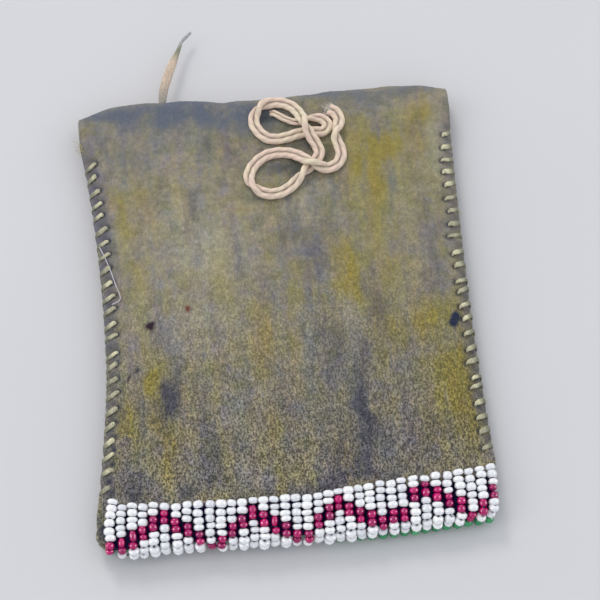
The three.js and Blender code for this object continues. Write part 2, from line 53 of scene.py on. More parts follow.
level = np.cos(CAMERA_ELEVATION)
forward = np.array([
    level * np.sin(CAMERA_TURN),
    level * np.cos(CAMERA_TURN),
    -np.sin(CAMERA_ELEVATION),
])
camera = bpy.data.objects.new("camera", bpy.data.cameras.new("camera"))
camera.data.lens = LENS_MM
camera.location = AIM - CAMERA_DISTANCE * forward
camera.rotation_euler = facing(forward)
bpy.context.collection.objects.link(camera)
bpy.context.scene.camera = camera


# Hide bag: one strip of soft smoked hide with a napped face, folded into flap, back and front.
# Its cut edges are left raw; the back is stained with ochre and blue-grey in long streaks.
MM = 0.001
HIDE_THICKNESS = 0.0011
END_HALF_WIDTH = 0.040
WAIST_HALF_WIDTH = 0.0382
WAIST_SWAY = 0.00121
END_SWAY = 0.00031
WAIST_RUN = 0.0427
LEFT_FLARE = 0.0015
FLARE_RANGE = (0.00836, 0.04436)
FLARE_START_SHARE = 0.3
TOP_FOLD_Y = 0.04674
BOTTOM_FOLD_Y = -0.04626
BOTTOM_BOW = 0.002
LEFT_DROP = 0.0013
DROP_SHARES = (0.5, 0.95)
BACK_BOW_RANGE = (0.01466, 0.03866)
FRONT_BOW_RANGE = (0.03716, 0.04626)
FRONT_Z = 0.0028
BACK_Z_RANGE = (0.004, 0.005)
BOTTOM_FOLD_RADIUS = 0.0007
CROWN_RISE = 0.0045
BOTTOM_RISE_RUN = 0.022
CROWN_POWER = 4
TOP_FOLD_DEPTH = 0.006
TOP_CORNER_DROOP = 0.0009
TOP_SETTLE_RUN = 0.024
TOP_FREE_RUN = 0.005
TOP_RISES = [(0.0017, -0.72), (0.0009, 0.7)]
RISE_REACH_SHARE = 0.5
TOP_CORNERS = [(-1, 0.0018, 0.8), (1, 0.0010, 0.85)]
WANDER_RUN = 0.020
MOUTH_Y = 0.04454
FLAP_END_Y = 0.00474
FLAP_END_HALF_WIDTH = 0.033
FLAP_CORNER_RADIUS = 0.006
SEAM_TOP_Y = 0.03924
SEAM_BOTTOM_Y = -0.03666
SEAM_FADES = (0.002, 0.004)
SEAM_STRIP = (0.0032, 0.0016)
STITCH_PITCH = 0.00315
STITCH_COUNT = 24
STITCH_INSET = 0.0024
STITCH_SLANT = 0.27 * STITCH_PITCH
ROW_STRAY = 0.00032
INSET_STRAY = 0.0003
SLANT_STRAY = 0.25
SEAM_STRAYS = [(-1, 0.8, 11), (1, 1.0, 12)]
HIDE_COLUMNS = 149
COLUMN_CROWDING = 0.45
EDGE_BULGE = 0.3 * HIDE_THICKNESS


def ease(value, low, high):
    """Smooth step from 0 at low to 1 at high."""
    share = np.clip((value - low) / (high - low), 0, 1)
    return share * share * (3 - 2 * share)


def blend(low, high, share):
    """Even passage from low at share 0 to high at share 1."""
    return low + (high - low) * share


def bell(value, middle, reach):
    """Soft spot: 1 at its middle, falling off with the square of the distance counted in reaches."""
    return np.exp(-((value - middle) / reach) ** 2)


def unit(vectors):
    """Vectors of length 1 in the same directions."""
    return vectors / np.linalg.norm(vectors, axis=-1, keepdims=True)


def end_share(y):
    """0 at the waist, 1 at the ends of the seams and beyond, growing with the square."""
    return np.minimum(1, np.abs(y) / WAIST_RUN) ** 2


def half_width(y):
    """Half the strip's width, least at the waist."""
    return blend(WAIST_HALF_WIDTH, END_HALF_WIDTH, end_share(y))


def sway(y):
    """Sideways place of the strip's middle line, furthest right at the waist."""
    return blend(WAIST_SWAY, END_SWAY, end_share(y))


def top_wander(across, y):
    """The top edge isn't straight: it rises on either side of the middle and draws in at the corners."""
    edge = -sum(drop * ease(side * across, share, 1) for side, drop, share in TOP_CORNERS)
    for height, share in TOP_RISES:
        edge = edge + height * np.maximum(0, 1 - ((across - share) / RISE_REACH_SHARE) ** 2)
    return edge * ease(y, TOP_FOLD_Y - WANDER_RUN, TOP_FOLD_Y)


def left_flare(across, y):
    """The left side widens smoothly towards the foot."""
    return LEFT_FLARE * ease(-y, *FLARE_RANGE) * ease(-across, FLARE_START_SHARE, 1)


def on_plan(across, y, z, shift=0.0, half=None):
    """Point of the strip from its share across (-1 to 1), its y and z, a shift along y and its half
    width there, if that isn't the width of the laced bag."""
    half = half_width(y) if half is None else half
    x = sway(y) + across * half - left_flare(across, y)
    return np.stack(np.broadcast_arrays(x, y + top_wander(across, y) + shift, z), axis=-1)


def crown_rise(across):
    """Rise of the crown over the bottom fold: full in the middle, falling to 0 at the sides."""
    return CROWN_RISE * (1 - np.abs(across) ** CROWN_POWER)


def bottom_slope(across):
    """Slope at which the back leaves the bottom fold."""
    return np.arctan(2 * crown_rise(across) / BOTTOM_RISE_RUN)


def back_start_y(across):
    """Where the round of the bottom fold ends and the back begins."""
    return BOTTOM_FOLD_Y - BOTTOM_FOLD_RADIUS * np.sin(bottom_slope(across))


def top_fold_depth(across):
    """Depth of the top fold, which droops at its corners with the square of the share across."""
    return TOP_FOLD_DEPTH - TOP_CORNER_DROOP * across ** 2


def back_height(y, across):
    """Height of the back's middle surface: a parabola up from the bottom fold to the crown, then a
    smooth settling to the depth of the top fold, late at the sides and early in the middle."""
    start_z = FRONT_Z + BOTTOM_FOLD_RADIUS * (1 + np.cos(bottom_slope(across)))
    climb = np.clip((y - back_start_y(across)) / BOTTOM_RISE_RUN, 0, 1)
    crown = start_z + crown_rise(across) * (1 - (1 - climb) ** 2)
    run = blend(TOP_SETTLE_RUN, TOP_FREE_RUN, across ** CROWN_POWER)
    settled = ease(y, TOP_FOLD_Y - run, TOP_FOLD_Y)
    return blend(crown, HIDE_THICKNESS / 2 + top_fold_depth(across), settled)


def bottom_bow(across):
    """The bottom edge bows out as a parabola and drops at its left end."""
    return BOTTOM_BOW * (1 - across ** 2) + LEFT_DROP * ease(-across, *DROP_SHARES)


def flap_sheet(along, across):
    """The flap lies flat on the table, tapers to its end and has rounded corners there."""
    y = blend(FLAP_END_Y, TOP_FOLD_Y, along)
    from_end = FLAP_CORNER_RADIUS - np.minimum(FLAP_CORNER_RADIUS, y - FLAP_END_Y)
    corner = FLAP_CORNER_RADIUS - np.sqrt(FLAP_CORNER_RADIUS ** 2 - from_end ** 2)
    half = blend(FLAP_END_HALF_WIDTH, half_width(TOP_FOLD_Y), along) - corner
    return on_plan(across, y, HIDE_THICKNESS / 2, half=half)


def top_fold_sheet(along, across):
    """Half a circle from the flap up to the back, as deep as the bag is there."""
    radius = top_fold_depth(across) / 2
    turn = np.pi * along
    z = HIDE_THICKNESS / 2 + radius * (1 - np.cos(turn))
    return on_plan(across, TOP_FOLD_Y, z, radius * np.sin(turn))


def back_sheet(along, across):
    """The back from the top fold to the bottom fold at its own height, bowed out towards its foot."""
    y = blend(TOP_FOLD_Y, back_start_y(across), along)
    return on_plan(across, y, back_height(y, across), -bottom_bow(across) * ease(-y, *BACK_BOW_RANGE))


def bottom_fold_sheet(along, across):
    """An arc from the slope of the back round to the flat front."""
    turn = blend(np.pi - bottom_slope(across), 0, along)
    z = FRONT_Z + BOTTOM_FOLD_RADIUS * (1 - np.cos(turn))
    return on_plan(across, BOTTOM_FOLD_Y, z, -BOTTOM_FOLD_RADIUS * np.sin(turn) - bottom_bow(across))


def front_sheet(along, across):
    """The flat front from the bottom fold to the mouth, bowed out at its foot."""
    y = blend(BOTTOM_FOLD_Y, MOUTH_Y, along)
    return on_plan(across, y, FRONT_Z, -bottom_bow(across) * ease(-y, *FRONT_BOW_RANGE))


STRETCHES = [
    (flap_sheet, 26), (top_fold_sheet, 12), (back_sheet, 204), (bottom_fold_sheet, 8), (front_sheet, 44),
]


def ring_faces(rows, columns):
    """Quads between rows of points numbered row by row, each row a ring closed on its first point."""
    row = np.arange(rows - 1)[:, None] * columns
    column = np.arange(columns)[None, :]
    beside = (column + 1) % columns
    corners = [row + column, row + beside, row + columns + beside, row + columns + column]
    return np.stack(corners, axis=-1).reshape(-1, 4)


def mesh_piece(name, points, faces, values=None):
    """A smooth mesh object at the origin, with the named values kept at its points."""
    mesh = bpy.data.meshes.new(name)
    mesh.from_pydata(np.reshape(points, (-1, 3)).tolist(), [], [list(face) for face in faces])
    mesh.shade_smooth()
    for label, numbers in (values or {}).items():
        attribute = mesh.attributes.new(label, "FLOAT", "POINT")
        attribute.data.foreach_set("value", np.ravel(numbers).astype(np.float32))
    mesh.update()
    piece = bpy.data.objects.new(name, mesh)
    bpy.context.collection.objects.link(piece)
    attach(piece, "root")
    return piece


def stitches(side, unruly, seed):
    """Rows, insets and slants of one side's stitches, which stray more on the unruly side."""
    row = SEAM_BOTTOM_Y + (np.arange(STITCH_COUNT) + 0.5) * STITCH_PITCH
    row = row + unruly * seed.normal(0, ROW_STRAY, STITCH_COUNT)
    inset = STITCH_INSET + unruly * seed.normal(0, INSET_STRAY, STITCH_COUNT)
    slant = side * STITCH_SLANT * (1 + unruly * seed.normal(0, SLANT_STRAY, STITCH_COUNT))
    return row, inset, slant


STITCHES = {
    side: stitches(side, unruly, np.random.default_rng(seed))
    for side, unruly, seed in SEAM_STRAYS
}


def from_side(points, side):
    """Distance of points in from one cut side of the strip."""
    x, y = points[..., 0], points[..., 1]
    middle_x = sway(y) - left_flare(np.clip(x / END_HALF_WIDTH, -1, 1), y)
    return half_width(y) - side * (x - middle_x)


def near_stitches(points, side, slid, reach, shift=0.0):
    """Sum over a side's stitches of soft spots at their holes, slid along towards the cut edge or
    shifted up the seam."""
    row, inset, slant = STITCHES[side]
    at_row = bell(points[..., 1, None], row + slid * slant + shift, reach)
    return (at_row * bell(from_side(points, side)[..., None], (1 - slid) * inset, reach)).sum(axis=-1)


def seam_share(points, side):
    """1 in the puckered strip along a laced side, 0 further in and past the seam's ends."""
    y = points[..., 1]
    along = ease(y, SEAM_BOTTOM_Y - SEAM_FADES[0], SEAM_BOTTOM_Y)
    along = along * ease(-y, -SEAM_TOP_Y - SEAM_FADES[1], -SEAM_TOP_Y)
    return along * ease(-from_side(points, side), -SEAM_STRIP[0], -SEAM_STRIP[1])


# Wear of the hide: it is puckered by the lacing, waved by use, and its cut edges are drawn in.
# A wave has a height and two sines; a lobe of the left edge has its y, reach and how far it juts out.
WAVES = [
    (0.00016, (410, 130, 1.3), (-160, 95, 0.4)),
    (0.00010, (720, -210, 2.1), (250, 330, 0.0)),
    (0.00005, (2100, 900, 0.0), (-1300, 1700, 0.0)),
]
DENT_DEPTH = 0.00038
DENT_REACH = 0.0008
EDGE_DRAW = 0.00040
DRAW_REACH = 0.0009
LEFT_LOBES_MM = [(-38.8, 0.8, -0.3), (-44.1, 0.7, -0.7), (-46.8, 1.2, 0.2), (-49.8, 1.6, -3.0)]
LOBE_DEPTH = 0.003
PULL_DEPTH = 0.004
RIGHT_FOOT_PULL = 0.0013
FOOT_PULL_RANGE = (0.037, 0.044)
RIGHT_WAIST_PULL = 0.00028
WAIST_PULL_Y = -0.012
WAIST_PULL_REACH = 0.022
SIDE_WARPS = [(0.0011, 260, 0.7), (0.0006, 690, 0.0)]
LONG_WARP = (0.0016, 240, 2.0)
HOLE_REACH = 0.0006
POCKET_REACH = 0.0010
POCKET_SLIDES = [(-1, 0.5), (1, 0.75)]
BAND_TOP_Y = -0.0402
SHADE_RUN = 0.0008
SHADE_ENDS = [(1, -0.0392, -0.0386), (-1, -0.0396, -0.0390)]
LEFT_SEAM_TONES = (0.35, 0.85)
LEFT_TONE_RANGE = (0.0, 0.012)
RIGHT_SEAM_TONE = 0.4


def wave(x, y, pitch_x, pitch_y, start):
    """Sine over the plan, with pitches along x and y in radians to the metre."""
    return np.sin(pitch_x * x + pitch_y * y + start)


def wear(points, outward):
    """Shift of the worn hide: long low waves, dents at the stitches, cut edges drawn in by the lacing,
    four lobes of the left edge near the bottom fold and a right edge pulled in at waist and foot."""
    x, y, z = np.moveaxis(points, -1, 0)
    rise = sum(height * wave(x, y, *first) * wave(x, y, *second) for height, first, second in WAVES)
    sideways = np.zeros_like(x)
    for side in (-1, 1):
        rise = rise - DENT_DEPTH * near_stitches(points, side, 0.0, DENT_REACH)
        sideways -= side * EDGE_DRAW * near_stitches(points, side, 1.0, DRAW_REACH)
    left_edge = ease(-from_side(points, -1), -LOBE_DEPTH, 0)
    for lobe_y, reach, out in MM * np.array(LEFT_LOBES_MM):
        sideways -= out * left_edge * bell(y, lobe_y, reach)
    right_edge = ease(-from_side(points, 1), -PULL_DEPTH, 0)
    sideways -= RIGHT_FOOT_PULL * ease(-y, *FOOT_PULL_RANGE) * right_edge
    sideways -= RIGHT_WAIST_PULL * bell(y, WAIST_PULL_Y, WAIST_PULL_REACH) * right_edge
    shift = (rise * ease(z, *BACK_Z_RANGE))[..., None] * outward
    shift[..., 0] += sideways
    return shift


def soft_marks(points, marks):
    """Sum of soft oval marks on the back, each x, y, half width and half length in millimetres and a
    strength, which fade from their middles as bells; the ground is warped so that no oval is true."""
    x, y = points[..., 0], points[..., 1]
    warped_x = x + sum(height * np.sin(pitch * y + start) for height, pitch, start in SIDE_WARPS)
    height, pitch, start = LONG_WARP
    warped_y = y + height * np.sin(pitch * x + start)
    middle_x, middle_y, half_wide, half_long = MM * np.array(marks)[:, :4].T
    ovals = bell(warped_x[..., None], middle_x, half_wide)
    ovals = ovals * bell(warped_y[..., None], middle_y, half_long)
    return (np.array(marks)[:, 4] * ovals).sum(axis=-1)


MARKS = {
    "ochre": [
        (21.4, 27, 5.2, 14, 0.75), (15.8, 3.5, 3.4, 12.5, 0.85), (32.8, 41.3, 4.3, 3.2, 0.65),
        (30.3, 33.2, 7, 9, 0.45), (30.1, -5.7, 7.3, 5.1, 0.75), (33.7, -22.6, 5.6, 14.3, 0.8),
        (36.5, -29.1, 3, 7.9, 0.5), (21, -9, 3.2, 10, 0.6), (-32.3, -21.7, 2.2, 6.2, 1),
        (-26.7, -26.2, 1.7, 9.5, 0.9), (-28.1, -13.7, 2.2, 3.4, 1), (-25.6, 27.3, 3.2, 5.1, 0.6),
        (-31.3, 26, 1.5, 7.4, 0.5), (-29.9, 10.5, 2.2, 6, 0.4), (-12.4, 10.8, 2.2, 9.7, 0.5),
        (-4.4, -4.2, 5, 11.6, 0.45), (3.6, 3.7, 2.2, 3.5, 0.4), (-2.7, -34.9, 3.4, 9.2, 0.5),
        (-8.3, -30.3, 2.2, 5.1, 0.6), (36.4, 24.9, 2.2, 6, 0.5), (26, 6.5, 3.2, 6.9, 0.45),
        (-24, -23.5, 2, 5, 0.6), (-28.3, -8.1, 2.5, 5, 0.4), (35.3, -16.7, 2.8, 5, 0.5),
        (23.8, 37.2, 3.6, 4.8, 0.8),
    ],
    "dark": [
        (-8.7, 38.1, 6.5, 2.8, 0.4), (8.5, 8, 2.6, 10.5, 0.55), (8.4, -7.3, 3, 7, 0.45),
        (10.1, -16.8, 4.2, 10, 0.3), (14.9, -26.1, 1.7, 5.5, 1), (10.3, -35.1, 5.6, 6.9, 0.85),
        (-23.9, -17.5, 1.9, 4.2, 0.9), (-24.6, -19.4, 3.6, 3.6, 0.5), (-24.6, -17.8, 0.8, 2.2, 0.9),
        (-28, -3.3, 1.2, 2.6, 0.5), (-34.5, -37.2, 5, 4.4, 0.9), (-24, -39.2, 10, 2, 0.45),
        # The mark at (-40.3, -44.4) on the next line is painted shade in the crease between the two lowest
        # left lobes.
        (3, -40.5, 20, 1.8, 0.5), (-40.3, -44.4, 1.4, 0.6, 1), (-39.2, -45, 2.4, 6.2, 1.3),
        (-40.3, -38.5, 1.4, 0.6, 0.6), (19.5, -4.1, 1.9, 9.7, 0.6), (-17, -31.6, 3, 8.3, 0.5),
        (-36, 20.1, 1.7, 6.9, 0.5), (-36.1, -1.8, 1.9, 9.2, 0.5), (27.2, -33.3, 3.4, 6.9, 0.4),
        (33.5, 1.2, 2.2, 5.1, 0.4), (10, -39.5, 4, 3.5, 0.7), (33.5, 37.8, 2.8, 4.2, 0.4),
        (-24, -22.5, 2, 3.5, 0.4), (-8.6, 34.1, 4, 4, 0.45), (2.9, 12.2, 2.5, 6, 0.35),
        (15.8, -14.4, 2, 4.2, 0.45), (21.9, -35.9, 3, 3.8, 0.45), (33.4, 14.2, 1.8, 4.2, 0.45),
    ],
    "worn": [
        (-14.2, 12.3, 5.5, 8.5, 0.6), (-18.2, -4.2, 9, 4.5, 0.45), (37.3, 36.1, 3, 6, 0.6),
        (38.3, 27.2, 3, 6, 0.5), (13.8, -7.1, 2.6, 4.5, 0.5), (7.1, 21.3, 3.5, 4.5, 0.45),
        (-22.4, 19, 5, 8, 0.3), (-10, -28.2, 3, 6, 0.7), (-6.8, 9.5, 3, 6, 0.4),
    ],
    # The next marks lay a blue-grey band along the top fold, strongest on the left.
    "top_band": [
        (-18.8, 49.2, 15, 5, 1.2), (-34.5, 49, 7, 3.6, 0.8), (-5, 46.8, 10, 5, 0.8),
        (12.4, 49.2, 11, 3.4, 0.8), (30.5, 49.4, 13, 2.6, 0.7), (-33, 40, 6, 4, 0.25),
        (-21, 44.6, 8, 2.8, 0.5), (-13.6, 42.6, 6, 2.5, 0.3),
    ],
    # The next marks are painted shadow that the cord's loops cast on the back, under their upper strands.
    "cord_loop_shadow": [
        (0.1, 45.2, 2.2, 1.3, 1.1), (4.1, 41.3, 3, 0.8, 0.7), (2.7, 32.7, 2.8, 1, 0.8),
        (4.9, 31.2, 3, 1.1, 1.1), (7.3, 29.4, 1.8, 1.2, 1), (4.6, 35.5, 3.4, 1, 0.9),
        (8.6, 34.8, 1.6, 2, 0.9), (12.3, 32.2, 1.4, 2.4, 0.9), (13.1, 40.2, 1.1, 1.3, 1.2),
        (10.9, 39, 0.8, 0.6, 1.4), (-2.9, 25.2, 3, 0.9, 0.5),
    ],
    "burnt": [
        (-28.5, -1.1, 0.7, 0.6, 1.4), (-27.6, -0.7, 0.7, 0.4, 1.3), (-27.9, -1.6, 0.4, 0.6, 1.2),
        (-33.1, -12.9, 0.3, 0.7, 1.2), (-25.1, -15.1, 0.3, 0.8, 1.1), (-24.6, -17.2, 0.4, 1, 0.6),
        (-23.5, 23.8, 0.3, 0.4, 0.7), (-14.3, 26.3, 0.3, 0.3, 0.6), (-32.8, 33.7, 0.3, 0.4, 0.7),
        (-22.5, 18.8, 0.3, 0.3, 0.6),
    ],
    # The next marks are painted shade: dark holes in the hide, and the gap between the lowest left lobes
    # and the beads.
    "hole": [
        (34.7, -8.8, 0.9, 0.9, 1.7), (35.6, -7.4, 0.9, 1.1, 1.8), (-32.1, -11, 0.4, 0.6, 1.1),
        (-38.8, -47, 0.7, 1.3, 1.2), (-39.1, -49, 0.7, 1.1, 1.2),
    ],
    "red": [(-18.7, -0.5, 0.6, 0.5, 1.2), (-19.1, -1.2, 0.5, 0.5, 1.1)],
}

across = np.linspace(-1, 1, HIDE_COLUMNS)
across = across + COLUMN_CROWDING * np.sin(np.pi * across) / np.pi
rows = []
for sheet, count in STRETCHES:
    along = np.linspace(0, 1, count, endpoint=sheet is front_sheet)
    rows.append(sheet(along[:, None], across[None, :]))
middle = np.concatenate(rows)
outward = unit(np.cross(np.gradient(middle, axis=0), np.gradient(middle, axis=1)))
middle = middle + wear(middle, outward)
outer = middle + HIDE_THICKNESS / 2 * outward
inner = middle - HIDE_THICKNESS / 2 * outward
bulge = EDGE_BULGE * np.array([1.0, 0.0, 0.0])
loop = np.concatenate([outer, middle[:, -1:] + bulge, inner[:, ::-1], middle[:, :1] - bulge], axis=1)
loop_size = loop.shape[1]
column = np.arange(HIDE_COLUMNS)
below = 2 * HIDE_COLUMNS - column
flap_cut = np.stack([column[:-1], column[1:], below[1:], below[:-1]], axis=-1).tolist()
flap_cut.append([HIDE_COLUMNS - 1, HIDE_COLUMNS, HIDE_COLUMNS + 1])
flap_cut.append([0, 2 * HIDE_COLUMNS, 2 * HIDE_COLUMNS + 1])
mouth_start = (len(loop) - 1) * loop_size
mouth_cut = [[corner + mouth_start for corner in reversed(face)] for face in flap_cut]
hide_faces = ring_faces(len(loop), loop_size)[:, ::-1].tolist() + flap_cut + mouth_cut

loop_x, loop_y, loop_z = np.moveaxis(loop, -1, 0)
on_back = ease(loop_z, *BACK_Z_RANGE)
values = {name: soft_marks(loop, marks) * on_back for name, marks in MARKS.items()}
# Painted shade at the stitch holes.
values["hole"] += sum(near_stitches(loop, side, 0.0, HOLE_REACH) for side in (-1, 1)) * on_back
# Painted shade in the pockets between the stitches at the cut edges.
values["pocket"] = on_back * sum(
    near_stitches(loop, side, slid, POCKET_REACH, STITCH_PITCH / 2) for side, slid in POCKET_SLIDES
)
# Painted shade along the puckered strip of each laced side, deeper up the left seam.
left_tone = blend(*LEFT_SEAM_TONES, ease(loop_y, *LEFT_TONE_RANGE))
values["seam"] = left_tone * seam_share(loop, -1) + RIGHT_SEAM_TONE * seam_share(loop, 1)
# Painted shade on the hide under the bead band, seen in the gaps between the columns.
foot = -loop_y - bottom_bow(loop_x / END_HALF_WIDTH)
values["shade"] = ease(foot, -BAND_TOP_Y, -BAND_TOP_Y + SHADE_RUN)
for side, low, high in SHADE_ENDS:
    values["shade"] *= ease(side * loop_x, low, high)
hide = mesh_piece("hide", loop, hide_faces, values)
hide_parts("hide_bag")


# Nap: the fibres of a hide's rough face, raised when the hide was worked soft.
# They show as pale and dark specks and as a height for the relief.
DARK_FIBRE = (0.20, 0.205, 0.22, 1)
PALE_FIBRE = (2.04, 2.02, 1.96, 1)
LONE_PALE = (0.52, 0.49, 0.40, 1)
LONE_DARK = (0.03, 0.03, 0.035, 1)
LIE_TURNS = (0.6, -0.7)
LIE_STRETCH = (1, 0.45, 1)
LONE_SCALE = 0.85
NAP_INPUTS = {"Vector": "Vector", "Colour": "Color", "Scale": "Float", "Contrast": "Float"}


def add(kind, sockets, **settings):
    """A shader node with its settings: a plain socket is set, and one fed by another node is linked. The
    node goes into the tree of the nodes that feed it."""
    feeds = {label: given for label, given in sockets.items() if isinstance(given, bpy.types.NodeSocket)}
    tree = next(iter(feeds.values())).id_data
    node = tree.nodes.new("ShaderNode" + kind)
    for label, setting in settings.items():
        setattr(node, label, setting)
    for label, given in sockets.items():
        if label in feeds:
            tree.links.new(given, node.inputs[label])
        else:
            node.inputs[label].default_value = given
    return node


def mix(factor, low, high, mode="MIX"):
    """Colour between low and high by the factor."""
    node = add("Mix", {"Factor": factor, 6: low, 7: high}, data_type="RGBA", blend_type=mode)
    return node.outputs[2]


def reckon(operation, *terms, clamp=True):
    """Result of a sum on values, kept between 0 and 1 unless clamp is off."""
    node = add("Math", dict(enumerate(terms)), operation=operation, use_clamp=clamp)
    return node.outputs[0]


def times(mask, strength):
    """A mask made weaker or stronger, kept between 0 and 1."""
    return reckon("MULTIPLY", mask, strength)


def times_plus(mask, strength, base):
    """A mask at a strength on top of a base, kept between 0 and 1."""
    return reckon("MULTIPLY_ADD", mask, strength, base)


def stained(colour, mask, strength, tone):
    """A colour with a tone laid over it where the mask is, at a strength."""
    return mix(times(mask, strength), colour, tone)


def noise(where, scale, detail=2.0, rough=0.5, output="Fac"):
    """Cloudy noise at a place, of a scale in clouds to the metre."""
    sockets = {"Vector": where, "Scale": scale, "Detail": detail, "Roughness": rough}
    return add("TexNoise", sockets).outputs[output]


def spread(factor, low, high):
    """Stretches the part of a value between low and high to 0 and 1."""
    sockets = {"Value": factor, "From Min": low, "From Max": high}
    return add("MapRange", sockets).outputs["Result"]


def new_group(name, inputs, outputs):
    """A node group with sockets of the given kinds, and the inner ends of its inputs and outputs."""
    group = bpy.data.node_groups.new(name, "ShaderNodeTree")
    for way, sockets in (("INPUT", inputs), ("OUTPUT", outputs)):
        for label, kind in sockets.items():
            group.interface.new_socket(label, in_out=way, socket_type="NodeSocket" + kind)
    return group, group.nodes.new("NodeGroupInput").outputs, group.nodes.new("NodeGroupOutput").inputs


nap_group, nap_in, nap_out = new_group("nap", NAP_INPUTS, {"Colour": "Color", "Height": "Float"})
lain = []
for turn in LIE_TURNS:
    sockets = {"Vector": nap_in["Vector"], "Rotation": (0, 0, turn), "Scale": LIE_STRETCH}
    laid = add("Mapping", sockets).outputs["Vector"]
    lain.append(noise(laid, nap_in["Scale"], detail=1.0))
crossed = reckon("MAXIMUM", *lain)
fine = noise(nap_in["Vector"], nap_in["Scale"], rough=0.6)
speck = times(spread(crossed, 0.44, 0.70), 0.5)
speck = times_plus(spread(fine, 0.36, 0.64), 0.5, speck)
speck = spread(speck, 0.22, 0.78)
dark_fibres = mix(1.0, nap_in["Colour"], DARK_FIBRE, "MULTIPLY")
pale_fibres = mix(1.0, nap_in["Colour"], PALE_FIBRE, "MULTIPLY")
colour = mix(speck, dark_fibres, pale_fibres)
lone_scale = reckon("MULTIPLY", nap_in["Scale"], LONE_SCALE, clamp=False)
lone = noise(nap_in["Vector"], lone_scale, detail=1.0)
colour = stained(colour, spread(lone, 0.66, 0.80), 0.5, LONE_PALE)
colour = stained(colour, spread(lone, 0.38, 0.24), 0.6, LONE_DARK)
nap_group.links.new(mix(nap_in["Contrast"], nap_in["Colour"], colour), nap_out["Colour"])
nap_group.links.new(speck, nap_out["Height"])


# Colours of the hide: smoke-tanned in patches of grey and tan, stained in use, with painted shade at the
# holes, between the stitches, along the seams, under the beads, under the cord's loops and down the lower
# slope; each tone is laid over the last through its own mask.
LAVENDER_GREY = (0.217, 0.205, 0.213, 1)
TAN = (0.314, 0.265, 0.165, 1)
OLIVE = (0.19, 0.18, 0.095, 1)
WARM_STREAK = (0.330, 0.275, 0.120, 1)
COOL_STREAK = (0.142, 0.136, 0.148, 1)
OCHRE = (0.272, 0.220, 0.052, 1)
BLUE_GREY = (0.083, 0.080, 0.100, 1)
WORN = (0.38, 0.345, 0.26, 1)
CORD_LOOP_SHADOW = (0.036, 0.048, 0.055, 1)
LOWER_SLOPE_SHADE = (0.50, 0.50, 0.54, 1)
TOP_BAND_BLUE_GREY = (0.112, 0.128, 0.165, 1)
SEAM_SHADE = (0.150, 0.140, 0.195, 1)
POCKET_SHADE = (0.070, 0.068, 0.082, 1)
HOLE_SHADE = (0.007, 0.015, 0.048, 1)
RED_BROWN = (0.14, 0.022, 0.016, 1)
BURNT = (0.022, 0.006, 0.018, 1)
SHADE_UNDER_BEADS = (0.006, 0.002, 0.050, 1)
STREAK_STRETCH = (1.0, 0.22, 1.0)
GRAIN_STRENGTH = 0.5
HUE_STRENGTH = 0.10
HIDE_SHINE = 0.25


def finish_of(name, roughness, sheen=0.0, coat=0.0):
    """A new material, its shader with the plain values set, and the place on the piece."""
    material = bpy.data.materials.new(name)
    material.use_nodes = True
    nodes = material.node_tree.nodes
    shader = nodes["Principled BSDF"]
    for label, plain in (("Roughness", roughness), ("Sheen Weight", sheen), ("Coat Weight", coat)):
        shader.inputs[label].default_value = plain
    return material, shader, nodes.new("ShaderNodeTexCoord").outputs["Object"]


def kept(place, name):
    """A value kept on the mesh, for the material that the place belongs to."""
    node = place.id_data.nodes.new("ShaderNodeAttribute")
    node.attribute_name = name
    return node.outputs["Fac"]


def join(result, shader, label):
    """Feeds a result to one of the shader's sockets."""
    result.id_data.links.new(result, shader.inputs[label])


def relief(shader, height, strength, depth):
    """Gives the shader the small relief of a height."""
    bump = add("Bump", {"Height": height, "Strength": strength, "Distance": depth})
    join(bump.outputs["Normal"], shader, "Normal")


def napped(shader, place, colour, scale, contrast, strength, depth):
    """A colour with the nap in it; the shader gets the nap's relief."""
    sockets = {"Vector": place, "Colour": colour, "Scale": scale, "Contrast": contrast}
    nap = add("Group", sockets, node_tree=nap_group)
    relief(shader, nap.outputs["Height"], strength, depth)
    return nap.outputs["Colour"]


suede, shader, place = finish_of("napped_hide", roughness=0.95, sheen=0.1)
stretched = add("Mapping", {"Vector": place, "Scale": STREAK_STRETCH}).outputs["Vector"]
streaks = noise(stretched, scale=300, detail=4.0, rough=0.65)
patches = noise(place, scale=170, detail=4.0, rough=0.65)
tints = noise(place, scale=300)
height_y = add("SeparateXYZ", {"Vector": place}).outputs["Y"]
colour = mix(spread(patches, 0.36, 0.64), LAVENDER_GREY, TAN)
colour = stained(colour, spread(tints, 0.45, 0.65), 0.7, OLIVE)
colour = stained(colour, spread(streaks, 0.50, 0.68), 0.6, WARM_STREAK)
colour = stained(colour, spread(streaks, 0.48, 0.32), 0.6, COOL_STREAK)
for name, low, high, strength, tone in (
    ("ochre", 0.30, 0.62, 1.3, OCHRE),
    ("dark", 0.68, 0.38, 1.3, BLUE_GREY),
    ("worn", 0.32, 0.60, 1.2, WORN),
):
    broken = times_plus(spread(streaks, low, high), 0.8, 0.2)
    colour = stained(colour, times(kept(place, name), broken), strength, tone)
colour = mix(GRAIN_STRENGTH, colour, noise(place, scale=850, detail=3.0, rough=0.6), "OVERLAY")
colour = mix(HUE_STRENGTH, colour, noise(stretched, scale=330, output="Color"), "OVERLAY")
# A blue-grey band along the top fold, broken up by the patches.
drifted = times_plus(spread(patches, 0.62, 0.38), 0.5, 0.5)
colour = stained(colour, kept(place, "top_band"), drifted, TOP_BAND_BLUE_GREY)
# Painted shadow of the cord's loops on the hide.
colour = stained(colour, kept(place, "cord_loop_shadow"), 0.7, CORD_LOOP_SHADOW)
